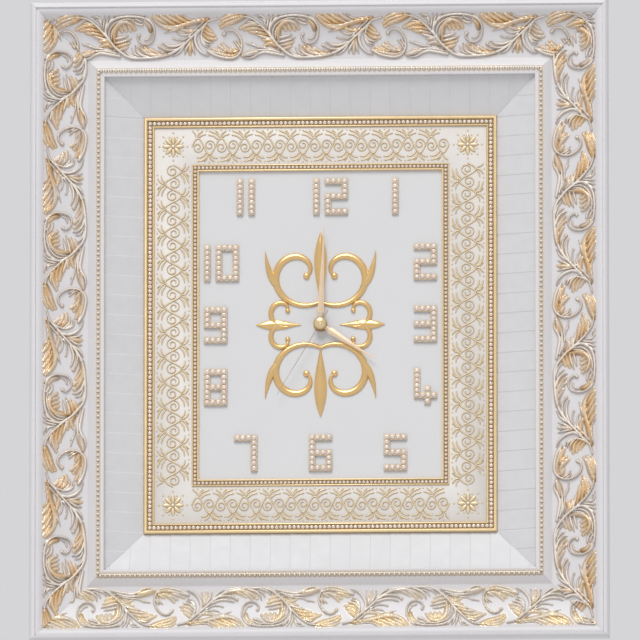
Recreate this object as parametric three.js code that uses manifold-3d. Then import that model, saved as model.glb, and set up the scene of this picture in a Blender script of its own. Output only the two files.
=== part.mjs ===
// A large rectangular wall clock: a carved moulded frame, a sloped liner, a trimmed dial board and a
// quartz movement behind it. Millimetres, +Z up, the front faces -Y, and the origin is the nail point.
import * as THREE from 'three';
import * as BufferGeometryUtils from 'three/addons/utils/BufferGeometryUtils.js';
import Module from 'manifold-3d';

const wasm = await Module();
wasm.setup();

// The dial's visible field, which sets the width and height of all that frames it
const dialWidth = 242.2;
const dialHeight = 311.2;

// Depth of the frame from the wall to the top of its rim
const frameDepth = 61;

// Gaps: pieces that are glued or screwed together, pieces that only stand near, and mitred ends
const glueGap = 0.1;
const clearance = 0.3;
const mitreGap = 0.3;
const cutOverrun = 1;

// Rail section, from the outer edge inward, and its heights above the wall
const railWidth = 74;
const sideUndercut = 9.5;
const shoulderWidth = 4.4;
const shoulderDrop = 8.5;
const rimWidth = 5.8;
const stepWidth = 0.7;
const stepDrop = 1.6;
const filletWidth = 2.4;
const coveSlopeWidth = 5.8;
const coveSlopeDrop = 6;
const coveHeight = 42;
const riserWidth = 7.1;
const beadSeatWidth = 1.2;
const beadSeatHeight = 45.6;
const beadRidgeWidth = 4.4;
const beadRidgeRise = 1.7;
const lipRound = 1.3;
const lipUndersideHeight = 41;
const rabbetWidth = 16;

// Carving in the cove of the rails: the pitch of its pattern, where it starts on each rail, and its strokes
const carvingPitch = 163.5;
const carvingStarts = { bottom: 119.8, right: 157.9, top: 34.8, left: 120.1 };
const carvedStemWidth = 3.8;
const carvedStemRise = 2.3;
const carvedLeafWidth = 9;
const broadLeafWidth = 15;
const carvedLeafRise = 1.9;
const carvedTipWidth = 1;
const carvedFootDepth = 1;
const carvedRootDepth = 2;
const carvedStemStep = 16;
const carvedScrollStep = 9;
const carvedLeafStep = 15;

// Liner, from the lip of the frame down to the dial
const linerWidth = 38.6;
const linerThickness = 3;
const linerEdgeThickness = 1.2;

// Boards
const dialFaceHeight = 25;
const dialBoardThickness = 4;
const dialBoardLedge = 14;
const backboardThickness = 5;
const movementOpeningClearance = 1.5;

// Trims and relief band on the dial board
const outerTrimWidth = 10.2;
const outerTrimHeight = 4.8;
const outerFilletWidth = 3.5;
const outerChannelWidth = 5;
const innerTrimWidth = 7;
const innerTrimHeight = 3.2;
const innerLineWidth = 1.3;
const innerChannelWidth = 3.7;
const channelFloorHeight = 1.1;
const reliefBandWidth = 37.4;
const reliefBandThickness = 1;
const stoneRise = 2;

// Numerals
const numeralHeight = 37;
const numeralWidth = 23.2;
const numeralStroke = 6.4;
const numeralThickness = 4;
const numeralGap = 5.2;
const numeralSideMargin = 5;
const numeralEndMargin = 7.6;
const nearColumnShare = 0.713;
const sideRowShare = 0.485;

// Foliate ornament at the middle of the dial, by its distance from the numerals
const ornamentSideMargin = 28.9;
const ornamentEndMargin = 18;
const ornamentThickness = 2.6;
const strokeWidth = 7;
const thinStrokeWidth = 5.2;
const budWidth = 12.5;
const smallBudWidth = 10;
const scrollRoundShare = 1.453;
const scrollEndShare = 0.3;
const budEndShare = 0.08;
const ballShare = 0.95;
const scrollSteps = 18;
const leafSteps = 8;
const strokeProbe = 1e-3;

// Hands
const minuteHandLength = 98;
const hourHandLength = 66;
const handWidth = 6.4;
const handTipWidth = 0.7;
const handNeckWidth = 3.6;
const handCollarRadius = 11;
const handCollarLength = 1.8;
const handHubRadius = 5.6;
const handThickness = 0.8;
const secondHandLength = 84;
const secondHandTail = 15.4;
const secondHandWidth = 0.9;
const secondHandHubRadius = 2.6;
const secondHandThickness = 0.5;
const secondBushRadius = 1.5;
const secondBushHeight = 2.4;
const hubCapRadius = 6.75;
const hubCapEdge = 0.6;
const hubCapDome = 3.6;
const hubCapSeatClearance = 0.4;
const minuteHandDegrees = 2.2;
const hourHandDegrees = 123.6;
const secondHandDegrees = 210.9;
const handLevelGap = 1.4;

// Movement case, sized about the hand shaft, the cell and the coil
const caseDepth = 16.5;
const caseWall = 1.2;
const caseSplit = 8.5;
const bayWallDrop = 10.7;
const baySpare = 1.6;
const gasketThickness = 0.8;
const gasketWidth = 30;
const bushingRadius = 3.9;
const bushingBoreRadius = 2.85;
const bushingProud = 4.5;
const washerRadius = 7;
const washerThickness = 0.8;
const nutAcrossFlats = 11;
const nutThickness = 2.2;
const nutSides = 6;

// Wheel train
const secondsArborRadius = 0.75;
const minutePipeRadius = 1.6;
const minutePipeBore = 1.1;
const hourPipeRadius = 2.55;
const hourPipeBore = 1.9;
const arborRadius = 0.5;
const motionArborRadius = 1;
const layerPitch = 2.1;
const firstLayerInset = 1.2;
const wheelThickness = 1.1;
const pinionThickness = 1.5;
const rotorTeeth = 12;
const intermediateTeeth = 60;
const intermediatePinionTeeth = 10;
const secondsTeeth = 60;
const secondsPinionTeeth = 8;
const thirdTeeth = 60;
const thirdPinionTeeth = 8;
const centreTeeth = 64;
const cannonTeeth = 12;
const motionTeeth = 36;
const motionPinionTeeth = 10;
const hourTeeth = 40;
const rotorModule = 0.3;
const secondsModule = 0.33;
const thirdModule = 0.32;
const motionModule = 0.5;
const thirdWheelDegrees = 15;
const intermediateDegrees = 165;
const motionWheelDegrees = 90;
const rotorDegrees = 100;
const toothAddendumShare = 0.75;
const toothDedendumShare = 1.2;
const pinionToothShare = 0.36;
const wheelToothShare = 0.38;
const toothTipShare = 0.4;
const toothRootShare = 1.25;

// Stepping motor and circuit
const magnetRadius = 3.1;
const magnetLength = 3;
const statorRingRadius = 6.5;
const statorThickness = 1;
const coilRadius = 2.8;
const coilLength = 24;
const coilRise = 22.2;
const coilMiddle = 7;
const coreWidth = 2;
const circuitBoardWidth = 16;
const circuitBoardHeight = 12;
const circuitBoardThickness = 1.2;

// Battery and its contacts
const batteryRadius = 7.1;
const batteryLength = 49.2;
const batteryNubRadius = 2.7;
const batteryNubLength = 1.3;
const contactThickness = 0.4;
const contactWidth = 9;
const contactReach = 0.95;

// Setting knob
const knobRadius = 5;
const knobThickness = 2;
const knobStemRadius = 0.9;

// Hanger, let into the back of the top rail
const nailInset = 33;
const hangerWidth = 46;
const hangerHeight = 14;
const hangerThickness = 1.2;
const hangerRecessDepth = 3.2;
const nailPocketWidth = 22;
const nailPocketDepth = 13;
const nailHeadRadius = 4;
const nailSlotRadius = 1.8;
const screwSpacing = 34;
const screwHeadRadius = 2.2;
const screwHeadThickness = 1.3;
const screwShankRadius = 1.1;
const screwLength = 11;

// Facets on round pieces
const roundSides = 24;
const shaftSides = 12;

// Places that follow from the sizes, as heights above the wall
const innerTrimOutWidth = dialWidth + 2 * innerTrimWidth;
const innerTrimOutHeight = dialHeight + 2 * innerTrimWidth;
const bandOutWidth = innerTrimOutWidth + 2 * (reliefBandWidth + glueGap);
const bandOutHeight = innerTrimOutHeight + 2 * (reliefBandWidth + glueGap);
const trimOutWidth = bandOutWidth + 2 * (outerTrimWidth + glueGap);
const trimOutHeight = bandOutHeight + 2 * (outerTrimWidth + glueGap);
const frameWidth = trimOutWidth + 2 * (railWidth + linerWidth);
const frameHeight = trimOutHeight + 2 * (railWidth + linerWidth);
const rabbetInset = railWidth - rabbetWidth;
const coveStart = rimWidth + stepWidth + filletWidth + coveSlopeWidth;
const coveStartHeight = frameDepth - stepDrop - coveSlopeDrop;
const beadRidgeEnd = railWidth - 3 * lipRound;
const beadRidgeStart = beadRidgeEnd - beadRidgeWidth;
const coveEnd = beadRidgeStart - beadSeatWidth - riserWidth;
const onDial = dialFaceHeight + glueGap;
const dialBoardBack = dialFaceHeight - dialBoardThickness;
const backboardFront = dialBoardBack - glueGap;
const gasketFront = dialBoardBack - glueGap;
const caseFront = gasketFront - gasketThickness - glueGap;
const caseBack = caseFront - caseDepth;
const caseJoint = caseBack + caseSplit;
const roomFront = caseFront - caseWall;
const roomBack = caseBack + caseWall;
const roomTop = coilRise + coilRadius + clearance;
const bayTop = -bayWallDrop - caseWall;
const bayBottom = bayTop - 2 * (clearance + batteryRadius) - baySpare;
const batteryHalfLength = (batteryLength + batteryNubLength) / 2;
const contactPlace = batteryHalfLength + glueGap + contactReach;
const roomHalfWidth = contactPlace + contactThickness + glueGap;
const caseTop = roomTop + caseWall;
const caseBottom = bayBottom - caseWall;
const caseRight = roomHalfWidth + caseWall;
const caseLeft = -caseRight;
const arborBack = roomBack + clearance;
const arborFront = roomFront - clearance;
const washerBack = dialFaceHeight + glueGap;
const nutBack = washerBack + washerThickness + glueGap;
const bushingFront = dialFaceHeight + bushingProud;
const hourHandBack = bushingFront + handLevelGap / 2;
const minuteHandBack = hourHandBack + handThickness + handLevelGap;
const secondHandBack = minuteHandBack + handThickness + handLevelGap / 2;
const hubCapBack = secondHandBack + secondHandThickness + glueGap;
const shaftHole = bushingRadius + clearance;
const centreRise = nailInset - frameHeight / 2;

// Materials
function paint(color, roughness, metalness) {
  return new THREE.MeshStandardMaterial({ color, roughness, metalness });
}
const whiteLacquer = paint(0xe9e7e8, 0.45, 0);
const linerWhite = paint(0xdededf, 0.6, 0);
const dialWhite = paint(0xdfdfe1, 0.5, 0);
const polishedGold = paint(0xe0b050, 0.22, 1);
const rhinestone = paint(0xe8cdb0, 0.15, 0.4);
const satinGold = paint(0xd9b48c, 0.35, 1);
const boardBrown = paint(0x8d7558, 0.85, 0);
const blackPlastic = paint(0x1c1c1e, 0.5, 0);
const clearWheelWhite = paint(0xf2f2ee, 0.5, 0);
const steel = paint(0xb9bcc0, 0.35, 1);
const brass = paint(0xc9a356, 0.3, 1);
const copper = paint(0xb5693a, 0.4, 1);
const circuitGreen = paint(0x2d6b45, 0.6, 0);
const rubber = paint(0x222222, 0.9, 0);
const cellBlue = paint(0x2f4f7d, 0.35, 0.3);

// Joining and cutting closed meshes
function solidOf(geometry) {
  const bare = geometry.clone();
  bare.deleteAttribute('normal');
  bare.deleteAttribute('uv');
  const merged = BufferGeometryUtils.mergeVertices(bare, 1e-4);
  return new wasm.Manifold(new wasm.Mesh({
    numProp: 3,
    vertProperties: new Float32Array(merged.attributes.position.array),
    triVerts: new Uint32Array(merged.index.array),
  }));
}

function geometryOf(solid) {
  const mesh = solid.getMesh();
  const geometry = new THREE.BufferGeometry();
  geometry.setAttribute('position', new THREE.BufferAttribute(mesh.vertProperties, 3));
  geometry.setIndex(new THREE.BufferAttribute(mesh.triVerts, 1));
  return geometry;
}

function join(geometries) {
  return geometryOf(geometries.map(solidOf).reduce((whole, next) => whole.add(next)));
}

function cut(geometry, tools) {
  return geometryOf(tools.map(solidOf).reduce((whole, tool) => whole.subtract(tool), solidOf(geometry)));
}

// Shapes are drawn as seen from the front: x to the right, y up, z towards the viewer
function shapeOf(points) {
  return new THREE.Shape(points.map(([x, y]) => new THREE.Vector2(x, y)));
}

function plate(shape, back, front) {
  const geometry = new THREE.ExtrudeGeometry(shape, { depth: front - back, bevelEnabled: false, steps: 1 });
  return geometry.translate(0, 0, back);
}

function block(left, right, bottom, top, back, front) {
  const geometry = new THREE.BoxGeometry(right - left, top - bottom, front - back);
  return geometry.translate((left + right) / 2, (bottom + top) / 2, (back + front) / 2);
}

// A turned piece about the z axis, from [radius, height] points that start and end on the axis
function turned(profile, sides) {
  const points = profile.map(([radius, height]) => new THREE.Vector2(radius, height));
  return new THREE.LatheGeometry(points, sides).rotateX(Math.PI / 2);
}

function rod(radius, back, front, sides = shaftSides) {
  return turned([[0, back], [radius, back], [radius, front], [0, front]], sides);
}

function polar(radius, degrees) {
  const angle = THREE.MathUtils.degToRad(degrees);
  return [radius * Math.cos(angle), radius * Math.sin(angle)];
}

function counterClockwise(section) {
  const points = section.map(([x, y]) => new THREE.Vector2(x, y));
  return THREE.ShapeUtils.isClockWise(points) ? points.reverse() : points;
}

function closedGeometry(positions, index) {
  const geometry = new THREE.BufferGeometry();
  geometry.setAttribute('position', new THREE.Float32BufferAttribute(positions, 3));
  geometry.setIndex(index);
  return geometry;
}

// A bar along x with mitred ends. The section is [distance in from the outer edge, height].
function mitredBar(section, length, outerEdge) {
  const points = counterClockwise(section);
  const count = points.length;
  const retreat = mitreGap / Math.SQRT2;
  const positions = [];
  for (const side of [-1, 1]) {
    for (const point of points) {
      positions.push(side * (length / 2 - point.x - retreat), outerEdge + point.x, point.y);
    }
  }
  const index = [];
  for (let i = 0; i < count; i += 1) {
    const j = (i + 1) % count;
    index.push(i, j, count + j, i, count + j, count + i);
  }
  for (const [a, b, c] of THREE.ShapeUtils.triangulateShape(points, [])) {
    index.push(count + a, count + b, count + c, a, c, b);
  }
  return closedGeometry(positions, index);
}

// A rectangular ring of one section. The section is [distance in from the outer edge, height].
function rectangularRing(section, width, height) {
  const points = counterClockwise(section);
  const count = points.length;
  const corners = [[-1, -1], [1, -1], [1, 1], [-1, 1]];
  const positions = [];
  for (const [sx, sy] of corners) {
    for (const point of points) {
      positions.push(sx * (width / 2 - point.x), sy * (height / 2 - point.x), point.y);
    }
  }
  const index = [];
  for (let corner = 0; corner < corners.length; corner += 1) {
    const here = corner * count;
    const there = ((corner + 1) % corners.length) * count;
    for (let i = 0; i < count; i += 1) {
      const j = (i + 1) % count;
      index.push(here + i, here + j, there + j, here + i, there + j, there + i);
    }
  }
  return closedGeometry(positions, index);
}

// The whole clock stands in one group that turns the drawing frame upright.
const clock = new THREE.Group();
clock.rotation.x = Math.PI / 2;
const centred = new THREE.Group();
centred.position.y = centreRise;
clock.add(centred);

function add(name, geometry, material, parent = centred) {
  const mesh = new THREE.Mesh(geometry, material);
  mesh.name = name;
  parent.add(mesh);
  return mesh;
}

// Four sides of the frame: name, turn about the middle, bar length and outer edge
const sides = [
  ['bottom', 0, frameWidth, -frameHeight / 2],
  ['right', 1, frameHeight, -frameWidth / 2],
  ['top', 2, frameWidth, -frameHeight / 2],
  ['left', 3, frameHeight, -frameWidth / 2],
];

function sideBar(section, turns, length, outerEdge) {
  return mitredBar(section, length, outerEdge).rotateZ(turns * Math.PI / 2);
}

// The cove's ground is a parabola that levels out towards the riser. Its share runs from 0 to 1 across it.
function coveInset(share) {
  return coveStart + (coveEnd - coveStart) * share;
}

function coveGround(share) {
  const rest = THREE.MathUtils.clamp(1 - share, 0, 1);
  return coveHeight + (coveStartHeight - coveHeight) * rest ** 2;
}

// Frame rails: shoulder, rim, step, cove, riser, bead ridge and lip, with a rabbet behind
function railSection() {
  const section = [[sideUndercut, 0]];
  const shoulderSteps = 4;
  for (let i = 0; i <= shoulderSteps; i += 1) {
    const angle = (i / shoulderSteps) * Math.PI / 2;
    section.push([
      shoulderWidth * (1 - Math.cos(angle)),
      frameDepth - shoulderDrop * (1 - Math.sin(angle)),
    ]);
  }
  section.push([rimWidth, frameDepth]);
  section.push([rimWidth + stepWidth, frameDepth - stepDrop]);
  section.push([coveStart - coveSlopeWidth, frameDepth - stepDrop]);
  const coveSteps = 4;
  for (let i = 0; i <= coveSteps; i += 1) {
    section.push([coveInset(i / coveSteps), coveGround(i / coveSteps)]);
  }
  const ridgeTop = beadSeatHeight + beadRidgeRise;
  section.push([coveEnd + riserWidth, beadSeatHeight]);
  section.push([beadRidgeStart, beadSeatHeight]);
  section.push([beadRidgeStart + beadRidgeWidth / 4, ridgeTop]);
  section.push([beadRidgeEnd - beadRidgeWidth / 4, ridgeTop]);
  section.push([beadRidgeEnd, beadSeatHeight]);
  section.push([railWidth - lipRound, beadSeatHeight]);
  section.push([railWidth, beadSeatHeight - lipRound]);
  section.push([railWidth, lipUndersideHeight]);
  section.push([rabbetInset, lipUndersideHeight]);
  section.push([rabbetInset, 0]);
  return section;
}

// Pockets in the back of the top rail for the hanger plate, the nail and the two screws
function hangerPockets() {
  const nailRise = -centreRise;
  const halfWidth = hangerWidth / 2 + clearance;
  const halfHeight = hangerHeight / 2 + clearance;
  const pockets = [
    block(-halfWidth, halfWidth, nailRise - halfHeight, nailRise + halfHeight,
      -cutOverrun, hangerRecessDepth),
    block(-nailPocketWidth / 2, nailPocketWidth / 2, nailRise - halfHeight, nailRise + halfHeight,
      -cutOverrun, nailPocketDepth),
  ];
  for (const side of [-1, 1]) {
    const hole = rod(screwShankRadius + clearance, 0, hangerRecessDepth + screwLength + clearance);
    pockets.push(hole.translate(side * screwSpacing / 2, nailRise, 0));
  }
  return pockets;
}

// The carving's main strokes: a waving stem, the two scrolls that leave it, and their leaves. Each is its
// form and the points it runs through, as shares of the pitch along the rail and of the cove across it.
const carvedForms = {
  stem: { width: carvedStemWidth, rise: carvedStemRise, step: carvedStemStep, swelling: false },
  scroll: { width: carvedStemWidth, rise: carvedStemRise, step: carvedScrollStep, swelling: false },
  leaf: { width: carvedLeafWidth, rise: carvedLeafRise, step: carvedLeafStep, swelling: true },
  broad: { width: broadLeafWidth, rise: carvedLeafRise, step: carvedLeafStep, swelling: true },
};
const carvingShares = [
  ['stem', [[0.171, 0.054], [0.275, 0.276], [0.355, 0.546], [0.428, 0.775], [0.538, 0.916], [0.654, 0.944],
    [0.74, 0.874], [0.809, 0.653], [0.869, 0.375], [0.954, 0.084], [1.031, 0.019]]],
  ['scroll', [[0.309, 0.382], [0.295, 0.717], [0.226, 0.885], [0.128, 0.944], [0.049, 0.881], [0.027, 0.628],
    [0.058, 0.377], [0.118, 0.33], [0.135, 0.405]]],
  ['scroll', [[0.841, 0.511], [0.841, 0.166], [0.746, 0.02], [0.63, 0.03], [0.563, 0.253], [0.572, 0.534],
    [0.627, 0.616], [0.664, 0.475]]],
  ['leaf', [[0.801, 0.581], [0.795, 0.241], [0.731, 0.124], [0.679, 0.283]]],
  ['broad', [[0.8, 0.65], [0.75, 0.62], [0.7, 0.55]]],
  ['broad', [[0.232, 0.087], [0.373, 0.136], [0.459, 0.148], [0.563, 0.03]]],
  ['leaf', [[0.012, 0.007], [0.086, 0.077], [0.153, 0.194]]],
  ['broad', [[0.04, 0.84], [0.135, 0.84], [0.225, 0.768]]],
  ['broad', [[0.275, 0.475], [0.232, 0.487], [0.185, 0.487]]],
  ['leaf', [[0.333, 0.534], [0.349, 0.71], [0.355, 0.862]]],
  ['leaf', [[0.385, 0.628], [0.453, 0.721], [0.529, 0.651]]],
  ['leaf', [[0.489, 0.88], [0.587, 0.83], [0.651, 0.686]]],
  ['broad', [[0.86, 0.48], [0.924, 0.335], [1.015, 0.265]]],
  ['leaf', [[0.783, 0.885], [0.893, 0.815], [0.954, 0.874], [1.028, 0.897]]],
];

// One stroke as a ridge that follows the ground, with its feet and root sunk in the rail
function carvedStroke(form, pointShares, start, outerEdge) {
  const { width, rise, step, swelling } = carvedForms[form];
  const curve = new THREE.SplineCurve(pointShares.map(([along, across]) => (
    new THREE.Vector2(start + along * carvingPitch, coveInset(across)))));
  const steps = Math.max(2, Math.ceil(curve.getLength() / step));
  const positions = [];
  const index = [];
  const place = (x, inset, height) => {
    const share = (inset - coveStart) / (coveEnd - coveStart);
    positions.push(x, outerEdge + inset, coveGround(share) + height);
  };
  for (let i = 0; i <= steps; i += 1) {
    const point = curve.getPointAt(i / steps);
    const tangent = curve.getTangentAt(i / steps);
    const swell = swelling ? Math.sin(Math.PI * i / steps) : 1;
    const half = (carvedTipWidth + (width - carvedTipWidth) * swell) / 2;
    const crest = THREE.MathUtils.lerp(-carvedFootDepth / 2, rise, swell);
    place(point.x - tangent.y * half, point.y + tangent.x * half, -carvedFootDepth);
    place(point.x, point.y, crest);
    place(point.x + tangent.y * half, point.y - tangent.x * half, -carvedFootDepth);
    place(point.x, point.y, -carvedRootDepth);
  }
  const sectionPoints = 4;
  for (let i = 0; i < steps; i += 1) {
    for (let j = 0; j < sectionPoints; j += 1) {
      const a = i * sectionPoints + j;
      const b = i * sectionPoints + (j + 1) % sectionPoints;
      index.push(a, b, b + sectionPoints, a, b + sectionPoints, a + sectionPoints);
    }
  }
  const last = steps * sectionPoints;
  index.push(0, 2, 1, 0, 3, 2, last, last + 1, last + 2, last, last + 2, last + 3);
  return closedGeometry(positions, index);
}

// The carved rail is joined past its ends and then mitred, so that the carving runs to the mitre
function carvedRail(side, turns, length, outerEdge) {
  const depth = frameDepth + cutOverrun;
  const width = railWidth + cutOverrun;
  const section = new THREE.Shape(counterClockwise(railSection()));
  const bar = new THREE.ExtrudeGeometry(section, { depth: length, bevelEnabled: false, steps: 1 });
  bar.rotateY(Math.PI / 2).rotateX(Math.PI / 2).translate(-length / 2, outerEdge, 0);
  const strokes = [];
  const firstStart = (carvingStarts[side] % carvingPitch) - 2 * carvingPitch;
  for (let start = firstStart; start < length; start += carvingPitch) {
    for (const [form, pointShares] of carvingShares) {
      strokes.push(carvedStroke(form, pointShares, start - length / 2, outerEdge));
    }
  }
  const mitre = mitredBar([[-cutOverrun, -cutOverrun], [width, -cutOverrun], [width, depth],
    [-cutOverrun, depth]], length, outerEdge);
  const whole = solidOf(join([bar, ...strokes])).intersect(solidOf(mitre));
  return geometryOf(whole).rotateZ(turns * Math.PI / 2);
}

for (const [side, turns, length, outerEdge] of sides) {
  const rail = carvedRail(side, turns, length, outerEdge);
  add(`frame_rail_${side}`, side === 'top' ? cut(rail, hangerPockets()) : rail, whiteLacquer);
}

// Liner panels: a flange under the lip, then a slope down to the dial board
function linerSection() {
  const flangeFront = lipUndersideHeight - glueGap;
  const flangeBack = flangeFront - linerThickness;
  const flangeStart = rabbetInset + clearance;
  const flangeEnd = railWidth - linerEdgeThickness / 2;
  const innerEdge = railWidth + linerWidth - clearance;
  const footTop = onDial + linerEdgeThickness;
  return [
    [flangeStart, flangeBack],
    [flangeStart, flangeFront],
    [flangeEnd, flangeFront],
    [innerEdge, footTop],
    [innerEdge, onDial],
    [innerEdge - linerThickness - linerEdgeThickness, onDial],
    [flangeEnd - linerThickness / 2, flangeBack],
  ];
}

for (const [side, turns, length, outerEdge] of sides) {
  add(`liner_${side}`, sideBar(linerSection(), turns, length, outerEdge), linerWhite);
}

// Boards behind the liner: the dial board with its shaft hole, and the backboard with a square opening
const dialBoardWidth = trimOutWidth + 2 * (clearance + dialBoardLedge);
const dialBoardHeight = trimOutHeight + 2 * (clearance + dialBoardLedge);
const dialBoardShape = shapeOf([
  [-dialBoardWidth / 2, -dialBoardHeight / 2],
  [dialBoardWidth / 2, -dialBoardHeight / 2],
  [dialBoardWidth / 2, dialBoardHeight / 2],
  [-dialBoardWidth / 2, dialBoardHeight / 2],
]);
dialBoardShape.holes.push(new THREE.Path().absarc(0, 0, shaftHole, 0, 2 * Math.PI));
const dialBoard = new THREE.ExtrudeGeometry(dialBoardShape, {
  depth: dialBoardThickness,
  bevelEnabled: false,
  steps: 1,
  curveSegments: roundSides,
});
add('dial_board', dialBoard.translate(0, 0, dialBoardBack), dialWhite);

const backboardWidth = frameWidth - 2 * (rabbetInset + clearance);
const backboardHeight = frameHeight - 2 * (rabbetInset + clearance);
const openingHalf = caseRight + movementOpeningClearance;
const openingTop = caseTop + movementOpeningClearance;
const openingBottom = caseBottom - movementOpeningClearance;
const backboard = cut(
  block(-backboardWidth / 2, backboardWidth / 2, -backboardHeight / 2, backboardHeight / 2,
    backboardFront - backboardThickness, backboardFront),
  [block(-openingHalf, openingHalf, openingBottom, openingTop,
    backboardFront - backboardThickness - cutOverrun, backboardFront + cutOverrun)],
);
add('backboard', backboard, boardBrown);

// Outer trim: a round fillet, a channel for the stones and a thin inner line
const outerChannelEnd = outerFilletWidth + outerChannelWidth;
const outerTrimSection = [
  [0, 0],
  [0, outerTrimHeight / 2],
  [outerFilletWidth / 6, outerTrimHeight * 0.85],
  [outerFilletWidth / 2, outerTrimHeight],
  [outerFilletWidth * 5 / 6, outerTrimHeight * 0.85],
  [outerFilletWidth, channelFloorHeight],
  [outerChannelEnd, channelFloorHeight],
  [outerChannelEnd, outerTrimHeight / 2],
  [(outerChannelEnd + outerTrimWidth) / 2, outerTrimHeight * 0.65],
  [outerTrimWidth, outerTrimHeight / 2],
  [outerTrimWidth, 0],
];
const outerTrim = rectangularRing(outerTrimSection, trimOutWidth, trimOutHeight);
add('outer_gold_trim', outerTrim.translate(0, 0, onDial), polishedGold);

// Inner trim: a thin line, a channel for the stones and a flat line on the dial's side
const innerChannelEnd = innerLineWidth + innerChannelWidth;
const innerTrimSection = [
  [0, 0],
  [0, innerTrimHeight * 0.6],
  [innerLineWidth / 2, innerTrimHeight * 0.8],
  [innerLineWidth, channelFloorHeight],
  [innerChannelEnd, channelFloorHeight],
  [innerChannelEnd, innerTrimHeight * 0.6],
  [(innerChannelEnd * 3 + innerTrimWidth) / 4, innerTrimHeight],
  [(innerChannelEnd + innerTrimWidth * 3) / 4, innerTrimHeight],
  [innerTrimWidth, innerTrimHeight * 0.6],
  [innerTrimWidth, 0],
];
const innerTrim = rectangularRing(innerTrimSection, innerTrimOutWidth, innerTrimOutHeight);
add('inner_gold_trim', innerTrim.translate(0, 0, onDial), polishedGold);

// Stone chains: a crowned strip that lies in each trim's channel
function stoneChain(start, width, outWidth, outHeight) {
  const inner = width - 2 * clearance;
  const from = start + clearance;
  const section = [
    [from, 0],
    [from + inner / 8, stoneRise * 0.7],
    [from + inner / 3, stoneRise],
    [from + inner * 2 / 3, stoneRise],
    [from + inner * 7 / 8, stoneRise * 0.7],
    [from + inner, 0],
  ];
  const ring = rectangularRing(section, outWidth, outHeight);
  return ring.translate(0, 0, onDial + channelFloorHeight + glueGap);
}
const outerChain = stoneChain(outerFilletWidth, outerChannelWidth, trimOutWidth, trimOutHeight);
add('outer_rhinestone_chain', outerChain, rhinestone);
const innerChain = stoneChain(innerLineWidth, innerChannelWidth, innerTrimOutWidth, innerTrimOutHeight);
add('inner_rhinestone_chain', innerChain, rhinestone);

// Relief band between the two trims
const reliefBandSection = [
  [0, 0],
  [0, reliefBandThickness],
  [reliefBandWidth, reliefBandThickness],
  [reliefBandWidth, 0],
];
const reliefBand = rectangularRing(reliefBandSection, bandOutWidth, bandOutHeight);
add('relief_band', reliefBand.translate(0, 0, onDial), whiteLacquer);

// Numerals: block figures made of straight bars, each a raised piece of its own
const halfFigure = numeralWidth / 2;
const halfRise = numeralHeight / 2;
const halfStroke = numeralStroke / 2;
const fourBarRise = -halfRise + numeralHeight / 3;
const fourStemMiddle = halfFigure - 2 * numeralStroke + halfStroke;
const bars = {
  top: [-halfFigure, halfFigure, halfRise - numeralStroke, halfRise],
  middle: [-halfFigure, halfFigure, -halfStroke, halfStroke],
  bottom: [-halfFigure, halfFigure, -halfRise, -halfRise + numeralStroke],
  left: [-halfFigure, -halfFigure + numeralStroke, -halfRise, halfRise],
  right: [halfFigure - numeralStroke, halfFigure, -halfRise, halfRise],
  upperLeft: [-halfFigure, -halfFigure + numeralStroke, -halfStroke, halfRise],
  upperRight: [halfFigure - numeralStroke, halfFigure, -halfStroke, halfRise],
  lowerLeft: [-halfFigure, -halfFigure + numeralStroke, -halfRise, halfStroke],
  lowerRight: [halfFigure - numeralStroke, halfFigure, -halfRise, halfStroke],
  one: [-halfStroke, halfStroke, -halfRise, halfRise],
  fourLeft: [-halfFigure, -halfFigure + numeralStroke, fourBarRise - numeralStroke, halfRise],
  fourBar: [-halfFigure, halfFigure, fourBarRise - numeralStroke, fourBarRise],
  fourStem: [fourStemMiddle - halfStroke, fourStemMiddle + halfStroke, -halfRise, fourBarRise + numeralStroke],
};
const figures = {
  zero: ['left', 'top', 'right', 'bottom'],
  one: ['one'],
  two: ['top', 'upperRight', 'middle', 'lowerLeft', 'bottom'],
  three: ['top', 'right', 'middle', 'bottom'],
  four: ['fourLeft', 'fourBar', 'fourStem'],
  five: ['top', 'upperLeft', 'middle', 'lowerRight', 'bottom'],
  six: ['top', 'left', 'middle', 'lowerRight', 'bottom'],
  seven: ['top', 'right'],
  eight: ['left', 'top', 'right', 'middle', 'bottom'],
  nine: ['top', 'upperLeft', 'middle', 'right', 'bottom'],
};
const column = dialWidth / 2 - numeralSideMargin - halfFigure;
const nearColumn = column * nearColumnShare;
const endRow = dialHeight / 2 - numeralEndMargin - halfRise;
const sideRow = endRow * sideRowShare;
const ornamentWidth = 2 * (column - halfFigure - ornamentSideMargin);
const ornamentHeight = 2 * (endRow - halfRise - ornamentEndMargin);
const tensStep = halfStroke + numeralGap + halfFigure;
const onesStep = numeralStroke + numeralGap;
const twelveShift = numeralStroke + numeralGap / 2;
const tenLeft = -column - halfFigure + halfStroke;
const twelveTens = twelveShift - (tensStep + numeralStroke) / 2;
const numerals = [
  ['numeral_1', figures.one, nearColumn, endRow],
  ['numeral_2', figures.two, column, sideRow],
  ['numeral_3', figures.three, column, 0],
  ['numeral_4', figures.four, column, -sideRow],
  ['numeral_5', figures.five, nearColumn, -endRow],
  ['numeral_6', figures.six, 0, -endRow],
  ['numeral_7', figures.seven, -nearColumn, -endRow],
  ['numeral_8', figures.eight, -column, -sideRow],
  ['numeral_9', figures.nine, -column, 0],
  ['numeral_10_tens', figures.one, tenLeft, sideRow],
  ['numeral_10_ones', figures.zero, tenLeft + tensStep, sideRow],
  ['numeral_11_tens', figures.one, -nearColumn - onesStep / 2, endRow],
  ['numeral_11_ones', figures.one, -nearColumn + onesStep / 2, endRow],
  ['numeral_12_tens', figures.one, twelveTens, endRow],
  ['numeral_12_ones', figures.two, twelveTens + tensStep, endRow],
];
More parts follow.
